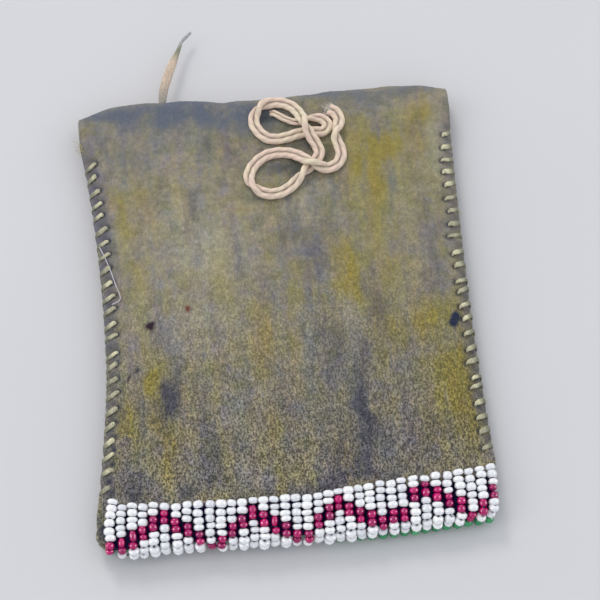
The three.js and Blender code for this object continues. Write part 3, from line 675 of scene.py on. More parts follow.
# Painted shade: the back darkens towards its foot, a little less at the very bottom.
lower_slope_shade = times(spread(height_y, 0.005, -0.030), 0.5)
lower_slope_shade = times_plus(spread(height_y, -0.032, -0.040), -0.35, lower_slope_shade)
colour = mix(lower_slope_shade, colour, LOWER_SLOPE_SHADE, "MULTIPLY")
contrast = times_plus(spread(height_y, 0.035, 0.008), 0.09, 0.07)
contrast = times_plus(spread(height_y, 0.008, -0.036), 0.62, contrast)
colour = napped(shader, place, colour, scale=2600, contrast=contrast, strength=0.5, depth=0.0004)
broken = times_plus(spread(tints, 0.62, 0.38), 0.65, 0.35)
colour = stained(colour, kept(place, "seam"), broken, SEAM_SHADE)
for name, strength, tone in (
    ("pocket", 0.65, POCKET_SHADE),
    ("hole", 0.95, HOLE_SHADE),
    ("shade", 0.95, SHADE_UNDER_BEADS),
    ("red", 0.9, RED_BROWN),
    ("burnt", 0.95, BURNT),
):
    colour = stained(colour, kept(place, name), strength, tone)
join(colour, shader, "Base Color")
# Where the shade under the beads is painted, the hide loses its shine too.
shine = times_plus(kept(place, "shade"), -HIDE_SHINE, HIDE_SHINE)
join(shine, shader, "Specular IOR Level")
hide.data.materials.append(suede)


# Clouding: soil, dust and uneven colour that making and handling leave in soft patches on thong, glass,
# string and fibres. A tone lies over the colour wherever a cloudy noise is dense.
CLOUD_ROUGHNESS = 0.6
CLOUDING_INPUTS = {
    "Vector": "Vector", "Colour": "Color", "Tone": "Color", "Scale": "Float", "Detail": "Float",
    "Low": "Float", "High": "Float", "Strength": "Float",
}

clouding_group, cloud_in, cloud_out = new_group("clouding", CLOUDING_INPUTS, {"Colour": "Color"})
cloud = noise(cloud_in["Vector"], cloud_in["Scale"], cloud_in["Detail"], CLOUD_ROUGHNESS)
dense = spread(cloud, cloud_in["Low"], cloud_in["High"])
colour = stained(cloud_in["Colour"], dense, cloud_in["Strength"], cloud_in["Tone"])
clouding_group.links.new(colour, cloud_out["Colour"])


def clouded(place, colour, tone, scale, low, high, strength, detail=2.0):
    """A colour with patches of a tone over it: none at the low of the noise, full strength at its high."""
    sockets = {
        "Vector": place, "Colour": colour, "Tone": tone, "Scale": scale, "Detail": detail,
        "Low": low, "High": high, "Strength": strength,
    }
    return add("Group", sockets, node_tree=clouding_group).outputs["Colour"]


# Lacing: one thin pale thong of hide along each side. It comes up through a hole in front and back,
# slants over the two cut edges and goes back under to the next hole (whip stitch).
LACE_WIDTH = 0.00108
LACE_THICKNESS = 0.00044
LACE_LIFT = 0.00012
LACE_POINTS = 24
LACE_SIDES = 10
LACE_LEAN = (0.0, 1.0, 0.0)
SPAN_POINTS = 24
HALF_WAY_SLANT = 0.55
BRINK_SLANT = 0.95
BRINK_SHARE = 0.990
BRINK_LIFT = 0.3 * LACE_LIFT
UNDER_SLANT = 0.2
EDGE_CLEARANCE = 0.00032
WIDTH_SPREAD = (0.8, 1.15)
HOLE_NARROWING = 0.6
NARROW_RANGE = (0.0015, 0.0026)
TONE_SPREAD = (0.4, 1.0)
EDGE_SHADE = 0.05
EDGE_SHADE_RANGE = (0.0002, 0.0014)
LACE_DARK = (0.17, 0.165, 0.11, 1)
LACE_PALE = (0.71, 0.66, 0.44, 1)
LACE_SMUDGE = (0.16, 0.15, 0.13, 1)


def over_sheet(sheet, along, across, height):
    """Point at a height over the outer face of a stretch of the hide, along its normal."""
    step = 1e-4
    ahead = sheet(along + step, across) - sheet(along - step, across)
    beside = sheet(along, across + step) - sheet(along, across - step)
    lift = HIDE_THICKNESS / 2 + np.asarray(height)
    return sheet(along, across) + lift[..., None] * unit(np.cross(ahead, beside))


def over_back(y, across, height):
    """Point at a height over the outer face of the back, from its y before the foot is bowed."""
    along = (TOP_FOLD_Y - y) / (TOP_FOLD_Y - back_start_y(across))
    return over_sheet(back_sheet, along, across, height)


def runs(path):
    """Distance run from the start of a path to each of its points."""
    steps = np.linalg.norm(np.diff(path, axis=0), axis=-1)
    return np.concatenate([np.zeros_like(steps[:1]), np.cumsum(steps, axis=0)])


def smooth_path(knots, count):
    """Evenly spaced points on a smooth curve through the knots: each span is a cubic whose end slopes
    are half the step between the knots on either side."""
    ends = [2 * knots[:1] - knots[1:2], knots, 2 * knots[-1:] - knots[-2:-1]]
    held = np.concatenate(ends)[:, None]
    before, here, there, after = (held[shift:len(held) - 3 + shift] for shift in range(4))
    t = np.linspace(0, 1, SPAN_POINTS, endpoint=False)[None, :, None]
    bend = 2 * before - 5 * here + 4 * there - after
    twist = 3 * here - before - 3 * there + after
    curve = here + 0.5 * ((there - before) * t + bend * t ** 2 + twist * t ** 3)
    curve = np.concatenate([curve.reshape(-1, 3), knots[-1:]])
    run = runs(curve)
    at = np.linspace(0, run[-1], count)
    return np.stack([np.interp(at, run, line) for line in curve.T], axis=-1)


def around(sides):
    """Angles of the corners of a section."""
    return 2 * np.pi * np.arange(sides) / sides


def tube(path, lean, sides, half_wide, half_thick=None):
    """Points and faces of a closed tube: a section, round or oval, carried along a path, its wide axis
    held as near as can be to the lean direction."""
    half_thick = half_wide if half_thick is None else half_thick
    tangent = unit(np.gradient(path, axis=0))
    lean = np.broadcast_to(lean, path.shape)
    wide = unit(lean - (lean * tangent).sum(axis=-1, keepdims=True) * tangent)
    thick = np.cross(tangent, wide)
    out_wide = np.cos(around(sides)) * np.broadcast_to(half_wide, len(path))[:, None]
    out_thick = np.sin(around(sides)) * np.broadcast_to(half_thick, len(path))[:, None]
    points = path[:, None] + out_wide[..., None] * wide[:, None] + out_thick[..., None] * thick[:, None]
    last = (len(path) - 1) * sides
    caps = [list(range(sides))[::-1], list(range(last, last + sides))]
    return points, ring_faces(len(path), sides).tolist() + caps


laced, shader, place = finish_of("lacing_hide", roughness=0.9, sheen=0.1)
colour = mix(kept(place, "tone"), LACE_DARK, LACE_PALE)
colour = clouded(place, colour, LACE_SMUDGE, scale=700, low=0.5, high=0.8, strength=0.6)
colour = napped(shader, place, colour, scale=2600, contrast=0.2, strength=0.35, depth=0.0002)
join(colour, shader, "Base Color")

lace_seed = np.random.default_rng(11)
under_z = FRONT_Z - HIDE_THICKNESS / 2 - LACE_LIFT
for side, name in ((-1, "left"), (1, "right")):
    row, inset, slant = (listed[::side] for listed in STITCHES[side])
    across = side * (1 - inset / half_width(row))
    top = over_back(row, across, LACE_LIFT)
    half_way = over_back(row + HALF_WAY_SLANT * slant, (across + side) / 2, LACE_LIFT)
    brink = over_back(row + BRINK_SLANT * slant, np.full(STITCH_COUNT, side * BRINK_SHARE), BRINK_LIFT)
    outside = brink + [side * EDGE_CLEARANCE, 0, 0]
    outside[:, 2] = FRONT_Z + BOTTOM_FOLD_RADIUS
    under_brink = brink + np.stack([0 * row, UNDER_SLANT * slant, under_z - brink[:, 2]], axis=-1)
    under = np.stack([top[:, 0], top[:, 1], np.full(STITCH_COUNT, under_z)], axis=-1)
    knots = np.stack([under, top, half_way, brink, outside, under_brink], axis=1).reshape(-1, 3)
    path = smooth_path(knots, LACE_POINTS * STITCH_COUNT)
    number = np.arange(len(path)) // LACE_POINTS
    edge_gap = from_side(path, side)
    stitch_width = LACE_WIDTH / 2 * lace_seed.uniform(*WIDTH_SPREAD, STITCH_COUNT)
    narrowed = stitch_width[number] * blend(1.0, HOLE_NARROWING, ease(edge_gap, *NARROW_RANGE))
    points, faces = tube(path, LACE_LEAN, LACE_SIDES, narrowed, LACE_THICKNESS / 2)
    stitch_tone = lace_seed.uniform(*TONE_SPREAD, STITCH_COUNT)
    # Painted shade: each stitch darkens as it nears and passes the cut edge, where it turns over.
    edge_shaded_tone = stitch_tone[number] * blend(EDGE_SHADE, 1.0, ease(edge_gap, *EDGE_SHADE_RANGE))
    lacing = mesh_piece(f"lacing_{name}", points, faces, {"tone": np.repeat(edge_shaded_tone, LACE_SIDES)})
    lacing.data.materials.append(laced)
    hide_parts(f"seam_lacing_{name}")


# Bead band: opaque glass seed beads, white with a red zigzag, strung in columns on one sewing thread
# that goes up one column and down the next round the bottom fold; the beads vary as hand-sorted ones do.
BEAD_RADIUS = 0.00102
BEAD_LENGTH = 0.00145
COLUMN_PITCH = 0.00217
COLUMN_COUNT = 36
COLUMN_BEADS = 8
COLUMN_LENGTH = COLUMN_BEADS * BEAD_LENGTH
RED_BEADS = 2
BAND_END_TURN = 0.54
BEAD_SEAT = 0.00005
ZIGZAG_PERIOD = 8
ZIGZAG_FIRST_POINT = 5
LONG_COLUMNS = [9, 10, 18, 27, 33, 34]
TALL_RED_COLUMNS = [1, 2, 15]
BEAD_PROFILE = [
    (1, 0), (0.90, 0.28), (0.62, 0.46), (0.26, 0.46), (0.26, -0.46), (0.62, -0.46), (0.90, -0.28),
]
BEAD_SIDES = 8
FOLD_POINTS = 14
BACK_POINTS = 16
SLIDE_TURN = 0.14
SLIDE_SHARES = (-0.95, -0.6, 0.1, 0.5)
PROUD_SPREAD = (0.4, 1.0)
PROUD_RISE = 0.00016
PROUD_SWELL = 0.05
PROUD_RAGGED = 0.045
RAGGED_STRAY = 0.02
FIRST_COLUMN_RISE = 0.14
LEAN_SHARES = [-0.95, -0.90, -0.84, -0.72, -0.5, -0.2, 0.0, 0.14, 0.26, 0.5, 0.62, 0.85, 0.95]
TOP_LEANS_MM = [1.55, 1.10, 0.85, 0.35, 0.0, -0.25, 0.0, -0.1, -0.65, -0.7, -0.35, -0.25, 0.0]
FOOT_LEANS_MM = [0.15, 0.45, 0.40, -0.05, -0.15, -0.75, -0.85, -0.7, -0.65, -0.6, -0.65, -0.7, -0.7]
MID_LEANS_MM = [-0.5, -0.4, -0.2, -0.25, -0.1, 0.0, 0.0, 0.0, 0.0, 0.1, 0.2, 0.9, 0.85]
LEAN_END = 1.1
LENGTH_SPREAD = (0.78, 1.2)
TALL_LENGTH = 1.5
AXIS_STRAY = 0.09
PLACE_STRAY = 0.00008
RADIUS_SPREAD = (1.02, 1.14)
SUNK_SHADE = 0.25
WHITE_PLAY = 0.5
RED_SIZE = 0.80
TALL_SIZE = 0.85
GLASS_TONES = {
    "white": ((0.76, 0.765, 0.81, 1), (1.0, 0.985, 0.98, 1), (0.66, 0.64, 0.76, 1)),
    "red": ((0.30, 0.000, 0.095, 1), (0.58, 0.001, 0.145, 1), (0.18, 0.000, 0.075, 1)),
}


def column_across(count, half):
    """Shares across of the middles of a number of columns."""
    return (np.arange(count) - (count - 1) / 2)[None, :] * COLUMN_PITCH / half


def strung(lines, lengths):
    """Middles and axes of beads of the given lengths, threaded end to end on each column's line."""
    run = runs(lines)
    at = np.cumsum(lengths, axis=1) - lengths / 2
    tables = (lines, np.gradient(lines, axis=0))
    read = [
        [[np.interp(here, passed, line) for line in table[:, column].T] for table in tables]
        for column, (here, passed) in enumerate(zip(at, run.T))
    ]
    middles, slopes = np.moveaxis(np.array(read), (1, 2), (0, 3))
    return middles, unit(slopes)


def glass(name, low, high, shade):
    """Opaque bead glass: its tone varies from bead to bead, with a faint cloud in each."""
    material, shader, place = finish_of(name, roughness=0.13, coat=0.1)
    colour = mix(kept(place, "tone"), low, high)
    colour = clouded(place, colour, shade, scale=900, low=0.5, high=0.85, strength=0.35)
    join(colour, shader, "Base Color")
    return material


def bead_piece(name, finish, middles, axes, radii, lengths, tones):
    """Many beads as one piece: a rounded ring profile turned about each bead's own axis."""
    out = unit(np.cross(axes, [1.0, 0.0, 0.0]))
    beside = np.cross(axes, out)
    turn = around(BEAD_SIDES)[:, None]
    reach, rise = np.array(BEAD_PROFILE).T
    ring = np.cos(turn) * out[:, None] + np.sin(turn) * beside[:, None]
    points = middles[:, None, None] + (reach[:, None] * radii[:, None, None])[..., None] * ring[:, None]
    points = points + (rise[:, None] * lengths[:, None, None])[..., None] * axes[:, None, None]
    size = len(BEAD_PROFILE) * BEAD_SIDES
    faces = ring_faces(len(BEAD_PROFILE) + 1, BEAD_SIDES) % size
    faces = (np.arange(len(middles))[:, None, None] * size + faces).reshape(-1, 4)
    piece = mesh_piece(name, points, faces, {"tone": np.repeat(tones, size)})
    piece.data.materials.append(finish)
    return piece


bead_seed = np.random.default_rng(5)
number = np.arange(COLUMN_COUNT)
band_size = (COLUMN_COUNT, COLUMN_BEADS)
band_across = column_across(COLUMN_COUNT, END_HALF_WIDTH)
slid = ease(band_across, *SLIDE_SHARES[:2]) * (1 - ease(band_across, *SLIDE_SHARES[2:]))
proud = np.where(number % 2 == 0, 1.0, -1.0) * bead_seed.uniform(*PROUD_SPREAD, COLUMN_COUNT)
ragged = PROUD_RAGGED * proud + bead_seed.normal(0, RAGGED_STRAY, COLUMN_COUNT)
ragged[0] += FIRST_COLUMN_RISE
band_end = BAND_END_TURN + SLIDE_TURN * slid
fold_turn = (band_end - ragged) * (1 - np.linspace(0, 1, FOLD_POINTS, endpoint=False)[:, None])
back_reach = (COLUMN_LENGTH + 2 * BEAD_RADIUS) / (TOP_FOLD_Y - BOTTOM_FOLD_Y)
back_along = 1 - np.linspace(0, back_reach, BACK_POINTS)[:, None]
foot_lean, mid_lean, top_lean = (
    MM * np.interp(band_across, LEAN_SHARES, leans)
    for leans in (FOOT_LEANS_MM, MID_LEANS_MM, TOP_LEANS_MM)
)
climb = np.linspace(0, LEAN_END, FOLD_POINTS + BACK_POINTS)[:, None]
lean = blend(foot_lean, top_lean, climb) + 4 * climb * (1 - climb) * mid_lean
leaning = band_across + lean / END_HALF_WIDTH
seat = BEAD_SEAT + BEAD_RADIUS + PROUD_RISE * proud
band_lines = np.concatenate([
    over_sheet(bottom_fold_sheet, fold_turn, leaning[:FOLD_POINTS], seat),
    over_sheet(back_sheet, back_along, leaning[FOLD_POINTS:], seat),
])
past = number - ZIGZAG_FIRST_POINT
step = np.where(past < 0, -past, np.minimum(past % ZIGZAG_PERIOD, -past % ZIGZAG_PERIOD))
white_above = np.minimum(COLUMN_BEADS - RED_BEADS, 1 + step + np.isin(number, LONG_COLUMNS))[:, None]
from_top = COLUMN_BEADS - 1 - np.arange(COLUMN_BEADS)[None, :]
is_red = (from_top >= white_above) & (from_top < white_above + RED_BEADS)
tall = is_red & np.isin(number, TALL_RED_COLUMNS)[:, None] & ~np.roll(is_red, -1, axis=1)
lengths = bead_seed.uniform(*LENGTH_SPREAD, band_size) * np.where(tall, TALL_LENGTH, 1.0)
lengths *= COLUMN_LENGTH / lengths.sum(axis=1, keepdims=True)
middles, axes = strung(band_lines, lengths)
axes = unit(axes + bead_seed.normal(0, AXIS_STRAY, axes.shape))
middles = middles + bead_seed.normal(0, PLACE_STRAY, middles.shape)
radii = BEAD_RADIUS * (bead_seed.uniform(*RADIUS_SPREAD, band_size) + PROUD_SWELL * proud[:, None])
radii = radii * np.where(is_red, RED_SIZE, 1.0) * np.where(tall, TALL_SIZE, 1.0)
tones = bead_seed.uniform(0, 1, band_size)
# Painted shade: white beads in the sunk columns are greyer than those in the proud ones.
sunk_shade = SUNK_SHADE * (1 + proud[:, None])
tones = np.where(is_red, tones, blend(sunk_shade, 1.0, WHITE_PLAY * tones))
red_pairs = [f"red_bead_pair_{column + 1:02d}" for column in range(COLUMN_COUNT)]
for colour, chosen, nodes in (("white", ~is_red, ["white_bead_string"]), ("red", is_red, red_pairs)):
    finish = glass(f"{colour}_glass", *GLASS_TONES[colour])
    picked = (listed[chosen] for listed in (middles, axes, radii, lengths, tones))
    beads = bead_piece(f"{colour}_beads", finish, *picked)
    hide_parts(*nodes)


# Bead thread: the sewing thread the band is strung on, coloured near-black navy as painted shade of the
# gaps between the beads. It shows between the beads and where it turns at a column's ends.
THREAD_RADIUS = 0.0002
THREAD_POINTS = 40 * COLUMN_COUNT
THREAD_SIDES = 6
THREAD_LEAN = (1.0, 0.3, 0.2)
THREAD_SHADE = (0.02, 0.015, 0.05, 1)
THREAD_PALE = (0.16, 0.13, 0.17, 1)

up_down = [middles[column, ::1 if column % 2 == 0 else -1] for column in range(COLUMN_COUNT)]
thread_path = smooth_path(np.concatenate(up_down), THREAD_POINTS)
points, faces = tube(thread_path, THREAD_LEAN, THREAD_SIDES, THREAD_RADIUS)
thread = mesh_piece("bead_thread", points, faces)
sinew, shader, place = finish_of("sewing_thread", roughness=0.8)
colour = mix(noise(place, scale=1200), THREAD_SHADE, THREAD_PALE)
join(colour, shader, "Base Color")
thread.data.materials.append(sinew)


# Front beadwork: lanes of green seed beads on the hidden front, sewn like the band. The first lane
# follows the bottom fold and its last row peeps out from under the band on the right.
LANE_COUNT = 4
LANE_COLUMNS = 31
LANE_GAP = 0.0005
LANE_SEAT = 0.0002 + BEAD_RADIUS
LANE_START_Y = SEAM_BOTTOM_Y - LANE_GAP
LANE_POINTS = 12
LANE_FOLD_POINTS = 5
FOLD_LANE_BEADS = 7
HIDDEN_SETBACK = 0.29
PEEP_SETBACK = 0.04
PEEP_FROM_COLUMN = 20
PEEP_OUT = 0.0007
PEEP_AXIS = (1.0, 0.1, 0.0)
PEEP_KEPT_AXIS = 0.3
LANE_LENGTH_SPREAD = (0.9, 1.1)
LANE_RADIUS_SPREAD = (0.9, 1.0)
LANE_AXIS_STRAY = 0.06
GREEN_TONES = ((0.015, 0.24, 0.09, 1), (0.06, 0.40, 0.15, 1), (0.006, 0.10, 0.06, 1))


def front_share(y):
    """How far along the front a y lies, from the bottom fold to the mouth."""
    return (y - BOTTOM_FOLD_Y) / (MOUTH_Y - BOTTOM_FOLD_Y)


green_glass = glass("green_glass", *GREEN_TONES)
peeping = number >= PEEP_FROM_COLUMN
for lane in range(1, LANE_COUNT + 1):
    if lane == 1:
        lane_size = (COLUMN_COUNT, FOLD_LANE_BEADS)
        lane_across = band_across + foot_lean / END_HALF_WIDTH
        lane_end = band_end + np.where(peeping, PEEP_SETBACK, HIDDEN_SETBACK)
        fold_turn = blend(lane_end, 1, np.linspace(0, 1, LANE_FOLD_POINTS, endpoint=False)[:, None])
        front_along = np.linspace(0, front_share(LANE_START_Y), LANE_POINTS)[:, None]
        lines = np.concatenate([
            over_sheet(bottom_fold_sheet, fold_turn, lane_across, LANE_SEAT),
            over_sheet(front_sheet, front_along, lane_across, LANE_SEAT),
        ])
    else:
        lane_size = (LANE_COLUMNS, COLUMN_BEADS)
        start_y = LANE_START_Y + LANE_GAP + (lane - 2) * (COLUMN_LENGTH + LANE_GAP)
        lane_y = start_y + np.linspace(0, COLUMN_LENGTH, LANE_POINTS)[:, None]
        lane_across = column_across(LANE_COLUMNS, WAIST_HALF_WIDTH) + 0 * lane_y
        lines = over_sheet(front_sheet, front_share(lane_y), lane_across, LANE_SEAT)
    lengths = bead_seed.uniform(*LANE_LENGTH_SPREAD, lane_size)
    lengths *= (runs(lines)[-1] / lengths.sum(axis=1))[:, None]
    middles, axes = strung(lines, lengths)
    axes = unit(axes + bead_seed.normal(0, LANE_AXIS_STRAY, axes.shape))
    if lane == 1:
        middles[peeping, 0, 1] -= PEEP_OUT
        axes[peeping, 0] = unit(PEEP_KEPT_AXIS * axes[peeping, 0] + PEEP_AXIS)
    radii = BEAD_RADIUS * bead_seed.uniform(*LANE_RADIUS_SPREAD, lane_size)
    tones = bead_seed.uniform(0, 1, lane_size)
    listed = (middles.reshape(-1, 3), axes.reshape(-1, 3), radii.ravel(), lengths.ravel(), tones.ravel())
    beads = bead_piece(f"green_beads_{lane}", green_glass, *listed)
    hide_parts(f"green_bead_lane_{lane}")


# Tie cord: a soft cotton string, doubled, that comes out of a hole near the top fold and lies on the
# back in loops; its two strands change sides now and then, and its end is cut and frayed.
STRAND_RADIUS = 0.00064
STRAND_APART = 0.00060
STRAND_POINTS = 560
STRAND_SIDES = 12
STRAND_LIFT = 0.0001
EASE_POINTS = 17
CORD_SWAPS = [0.09, 0.33, 0.44, 0.55, 0.66, 0.83, 0.94]
SWAP_RUN = 0.028
PLY_PITCH = 0.0024
PLY_DEPTH = 0.05
ROOT_SIZE = 0.62
ROOT_TAPER = (0.06, 0.14)
END_SWELL = 0.12
END_FLARE = (0.95, 1.0)
UPWARD = np.array([0.0, 0.0, 1.0])
PINK_COTTON = (0.82, 0.61, 0.49, 1)
CREAM_COTTON = (0.83, 0.71, 0.50, 1)
COTTON_GRIME = (0.42, 0.36, 0.32, 1)
PLY_SHADE = (0.40, 0.32, 0.27, 1)
CREASE_SHADE = (0.20, 0.15, 0.11, 1)
CORD_ROUTE = MM * np.array([
    (0.74, 44.54, 4.70), (1.50, 45.30, 6.00), (2.18, 45.23, 7.32), (3.62, 43.86, 7.78),
    (5.09, 42.90, 7.83), (6.57, 42.04, 7.89), (8.46, 42.00, 7.89), (10.25, 42.61, 7.83),
    (12.24, 42.63, 7.84), (13.79, 41.07, 7.95), (13.27, 39.35, 8.11), (11.65, 38.97, 8.16),
    (9.94, 39.33, 8.15), (7.33, 39.07, 8.18), (4.67, 38.29, 8.29), (2.06, 38.03, 8.33),
    (0.29, 38.62, 8.26), (-0.97, 39.99, 8.10), (-1.86, 41.63, 7.94), (-2.12, 43.50, 7.80),
    (-1.25, 45.54, 7.71), (0.24, 46.78, 7.70), (2.38, 47.41, 7.63), (4.61, 47.08, 7.67),
    (6.57, 45.73, 8.09), (7.90, 43.29, 8.99), (8.68, 40.57, 9.81), (9.47, 38.11, 9.79),
    (10.49, 36.18, 9.14), (11.28, 34.51, 8.75), (11.01, 32.67, 8.99), (9.28, 30.78, 9.24),
    (7.76, 29.19, 9.42), (6.63, 27.99, 9.54), (5.11, 26.35, 9.67), (2.93, 24.80, 9.75),
    (0.50, 24.26, 9.77), (-1.82, 24.87, 9.75), (-3.56, 26.41, 9.66), (-4.33, 28.28, 9.51),
    (-3.90, 30.46, 9.28), (-2.54, 32.37, 9.05), (-0.71, 33.84, 8.87), (1.23, 34.47, 8.78),
    (3.46, 34.46, 8.78), (5.46, 33.83, 9.16), (7.21, 32.38, 10.04), (8.75, 30.66, 10.95),
    (10.20, 29.78, 10.45), (11.89, 29.49, 9.67), (13.63, 29.74, 9.33), (15.30, 31.02, 9.16),
    (15.93, 33.02, 8.91), (15.64, 35.08, 8.75), (15.13, 36.49, 8.77), (15.20, 37.90, 8.69),
    (15.88, 39.75, 8.36), (16.33, 41.68, 8.00), (15.82, 43.63, 7.80), (14.40, 44.55, 7.76),
])


def eased_path(path, count):
    """A path smoothed by the weights of a raised cosine over a number of points, its ends kept in place
    by turning the path about them."""
    weights = np.hanning(count + 2)[1:-1]
    weights /= weights.sum()
    half = count // 2
    before = 2 * path[0] - path[half:0:-1]
    after = 2 * path[-1] - path[-2:-2 - half:-1]
    longer = np.concatenate([before, path, after])
    return np.stack([np.convolve(line, weights, "valid") for line in longer.T], axis=-1)


cotton, shader, place = finish_of("cotton_string", roughness=0.85, sheen=0.2)
tint = spread(noise(place, scale=160), 0.4, 0.7)
colour = mix(tint, PINK_COTTON, CREAM_COTTON)
colour = clouded(place, colour, COTTON_GRIME, scale=600, low=0.52, high=0.8, strength=0.5, detail=3.0)
colour = stained(colour, kept(place, "ply"), 0.35, PLY_SHADE)
colour = stained(colour, kept(place, "crease"), 0.8, CREASE_SHADE)
join(colour, shader, "Base Color")
relief(shader, noise(place, scale=3500, rough=0.6), strength=0.3, depth=0.0002)

cord_middle = eased_path(smooth_path(CORD_ROUTE, STRAND_POINTS), EASE_POINTS)
cord_middle[:, 2] += STRAND_LIFT
cord_tangent = unit(np.gradient(cord_middle, axis=0))
cord_side = unit(np.cross(UPWARD, cord_tangent))
share = np.linspace(0, 1, STRAND_POINTS)
half_turns = sum(ease(share, swap - SWAP_RUN, swap + SWAP_RUN) for swap in CORD_SWAPS)
thick = blend(ROOT_SIZE, 1.0, ease(share, *ROOT_TAPER)) + END_SWELL * ease(share, *END_FLARE)
for strand_number, name in enumerate(("a", "b")):
    turned = np.pi * (half_turns + strand_number)
    apart = STRAND_APART * thick * np.cos(turned)
    over = np.abs(np.sin(turned))
    path = cord_middle + apart[:, None] * cord_side
    path[:, 2] += STRAND_APART * (np.sin(turned) * (1 - 2 * (half_turns.astype(int) % 2)) + over)
    inward = unit(cord_middle + STRAND_APART * over[:, None] * UPWARD - path)
    strand_length = runs(path)[-1]
    points, faces = tube(path, UPWARD, STRAND_SIDES, STRAND_RADIUS * thick)
    lay = 2 * np.pi * share * strand_length / PLY_PITCH
    groove = np.cos(2 * around(STRAND_SIDES)[None, :] + lay[:, None])
    points = points + PLY_DEPTH * (points - path[:, None]) * groove[..., None]
    crease = np.clip((unit(points - path[:, None]) * inward[:, None]).sum(axis=-1), 0, 1) ** 2
    strand = mesh_piece(f"tie_cord_{name}", points, faces, {"ply": 0.5 - 0.5 * groove, "crease": crease})
    strand.data.materials.append(cotton)
    if name == "a":
        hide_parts("tie_cord")


# Cord knot: a small overhand knot in the root of the same string. It sits inside the pouch and keeps
# the string from pulling out of its hole.
KNOT_SCALE = np.array([0.00052, 0.00052, 0.00045])
KNOT_POINTS = 96
KNOT_RADIUS = 0.0005
KNOT_SIDES = 8

turn = around(KNOT_POINTS)
trefoil = np.stack([
    np.sin(turn) + 2 * np.sin(2 * turn),
    np.cos(turn) - 2 * np.cos(2 * turn),
    -np.sin(3 * turn),
], axis=-1)
points, faces = tube(CORD_ROUTE[0] + trefoil * KNOT_SCALE, UPWARD, KNOT_SIDES, KNOT_RADIUS)
knot_ply = 0.5 + 0.5 * np.cos(2 * around(KNOT_SIDES))
knot = mesh_piece("cord_knot", points, faces, {"ply": np.tile(knot_ply, KNOT_POINTS)})
knot.data.materials.append(cotton)
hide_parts("tie_cord_knot")


# Flap thong: a stiff twisted thong of hide, let out through a slit in the top fold; it swells, is
# pinched near its end and dries to a thin curled tip.
THONG_POINTS = 110
THONG_SIDES = 14
THONG_WIDEST = 0.00215
THONG_HALF_THICK = 0.00045
THICKNESS_PLAY = 0.00012
THICKNESS_WAVE = 9
TWIST = 0.5
TWIST_WAVE = 7
THONG_LEAN = 0.3
THONG_ROUTE = MM * np.array([
    (-22.26, 32.34, 4.10), (-21.86, 40.34, 4.10), (-21.56, 47.34, 4.10), (-21.26, 53.34, 4.00),
    (-19.97, 57.90, 3.90), (-18.66, 61.30, 3.60), (-17.15, 64.80, 3.20), (-16.19, 67.14, 3.00),
    (-15.12, 68.48, 2.80), (-14.04, 69.63, 2.60),
])
THONG_SHARES = [0.0, 0.3, 0.48, 0.56, 0.66, 0.76, 0.84, 0.87, 0.91, 0.96, 1.0]
THONG_WIDTHS = [0.8, 0.8, 0.70, 0.92, 1.0, 0.86, 0.48, 0.42, 0.32, 0.36, 0.28]
THONG_ROOT = (0.27, 0.25, 0.22, 1)
THONG_TONES = [
    (0.50, 0.64, (0.60, 0.46, 0.35, 1)),
    (0.76, 0.84, (0.22, 0.22, 0.15, 1)),
    (0.86, 0.92, (0.36, 0.36, 0.38, 1)),
]


def graded(factor, first, steps):
    """Colour that passes from the first tone to the next ones as the factor climbs through the steps."""
    colour = first
    for low, high, tone in steps:
        colour = mix(spread(factor, low, high), colour, tone)
    return colour


path = smooth_path(THONG_ROUTE, THONG_POINTS)
share = np.linspace(0, 1, THONG_POINTS)
half_wide = THONG_WIDEST / 2 * np.interp(share, THONG_SHARES, THONG_WIDTHS)
half_thick = THONG_HALF_THICK + THICKNESS_PLAY * np.sin(THICKNESS_WAVE * share)
half_thick = np.minimum(half_wide, half_thick)
twist = TWIST * np.sin(TWIST_WAVE * share)
lean = np.stack([np.cos(twist), THONG_LEAN * np.cos(twist), np.sin(twist)], axis=-1)
points, faces = tube(path, lean, THONG_SIDES, half_wide, half_thick)
thong = mesh_piece("flap_thong_visual", points, faces, {"share": np.repeat(share, THONG_SIDES)})
dried, shader, place = finish_of("dried_thong", roughness=0.8)
colour = graded(kept(place, "share"), THONG_ROOT, THONG_TONES)
colour = napped(shader, place, colour, scale=2200, contrast=0.16, strength=0.3, depth=0.0002)
join(colour, shader, "Base Color")
thong.data.materials.append(dried)
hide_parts("flap_thong")


# Stray fibres: nap that stands out of the hide's cut sides, a tuft at the left corner, a loose end on
# the left seam and the frayed end of the string; single thin hairs with no fixing of their own.
FIBRE_STEPS = 6
FIBRE_SIDES = 3
FIBRE_LEAN = (0.3, 0.2, 1.0)
SIDE_FIBRES = 75
TUFT_FIBRES = 16
FRAY_FIBRES = 70
CURL = 0.35
TAPER = 0.6
DROOP = 0.3
SIDE_SHARE = 0.985
SIDE_SPAN = (-0.047, 0.046)
SIDE_HAIRS = (0.0004, 0.7, (-0.3, 0.5), (0.0004, 0.0013), 0.00004, (0.1, 0.5))
TUFT_SPAN = (0.0405, 0.0428)
TUFT_HAIRS = (0.0002, 0.5, (-0.1, 0.5), (0.0008, 0.0019), 0.00008, (0.4, 0.6))
LONG_HAIRS = [(0.0190, 0.3, 0.0017), (-0.0246, 0.1, 0.0018)]
LONG_SHARE = 0.99
LONG_SINK = 0.0003
LONG_RISE = 0.1
LONG_RADIUS = 0.0001
LONG_TONE = 0.5
FRAY_START = -3
FRAY_WIDTH = 0.0006
FRAY_STRAY = 0.0002
FRAY_SPREAD = (0.35, 0.35, 0.175)
FRAY_LENGTHS = (0.0007, 0.0014)
FRAY_RADIUS = 0.00014
FRAY_TONES = (0.75, 0.85)
FRAY_DROOP = 0.1
LOOSE_END = MM * np.array([
    (-37.1, 17.4), (-36.2, 15.0), (-35.2, 11.8), (-34.3, 8.3), (-33.4, 4.6), (-35.2, 3.7),
])
LOOSE_POINTS = 40
LOOSE_SIDES = 5
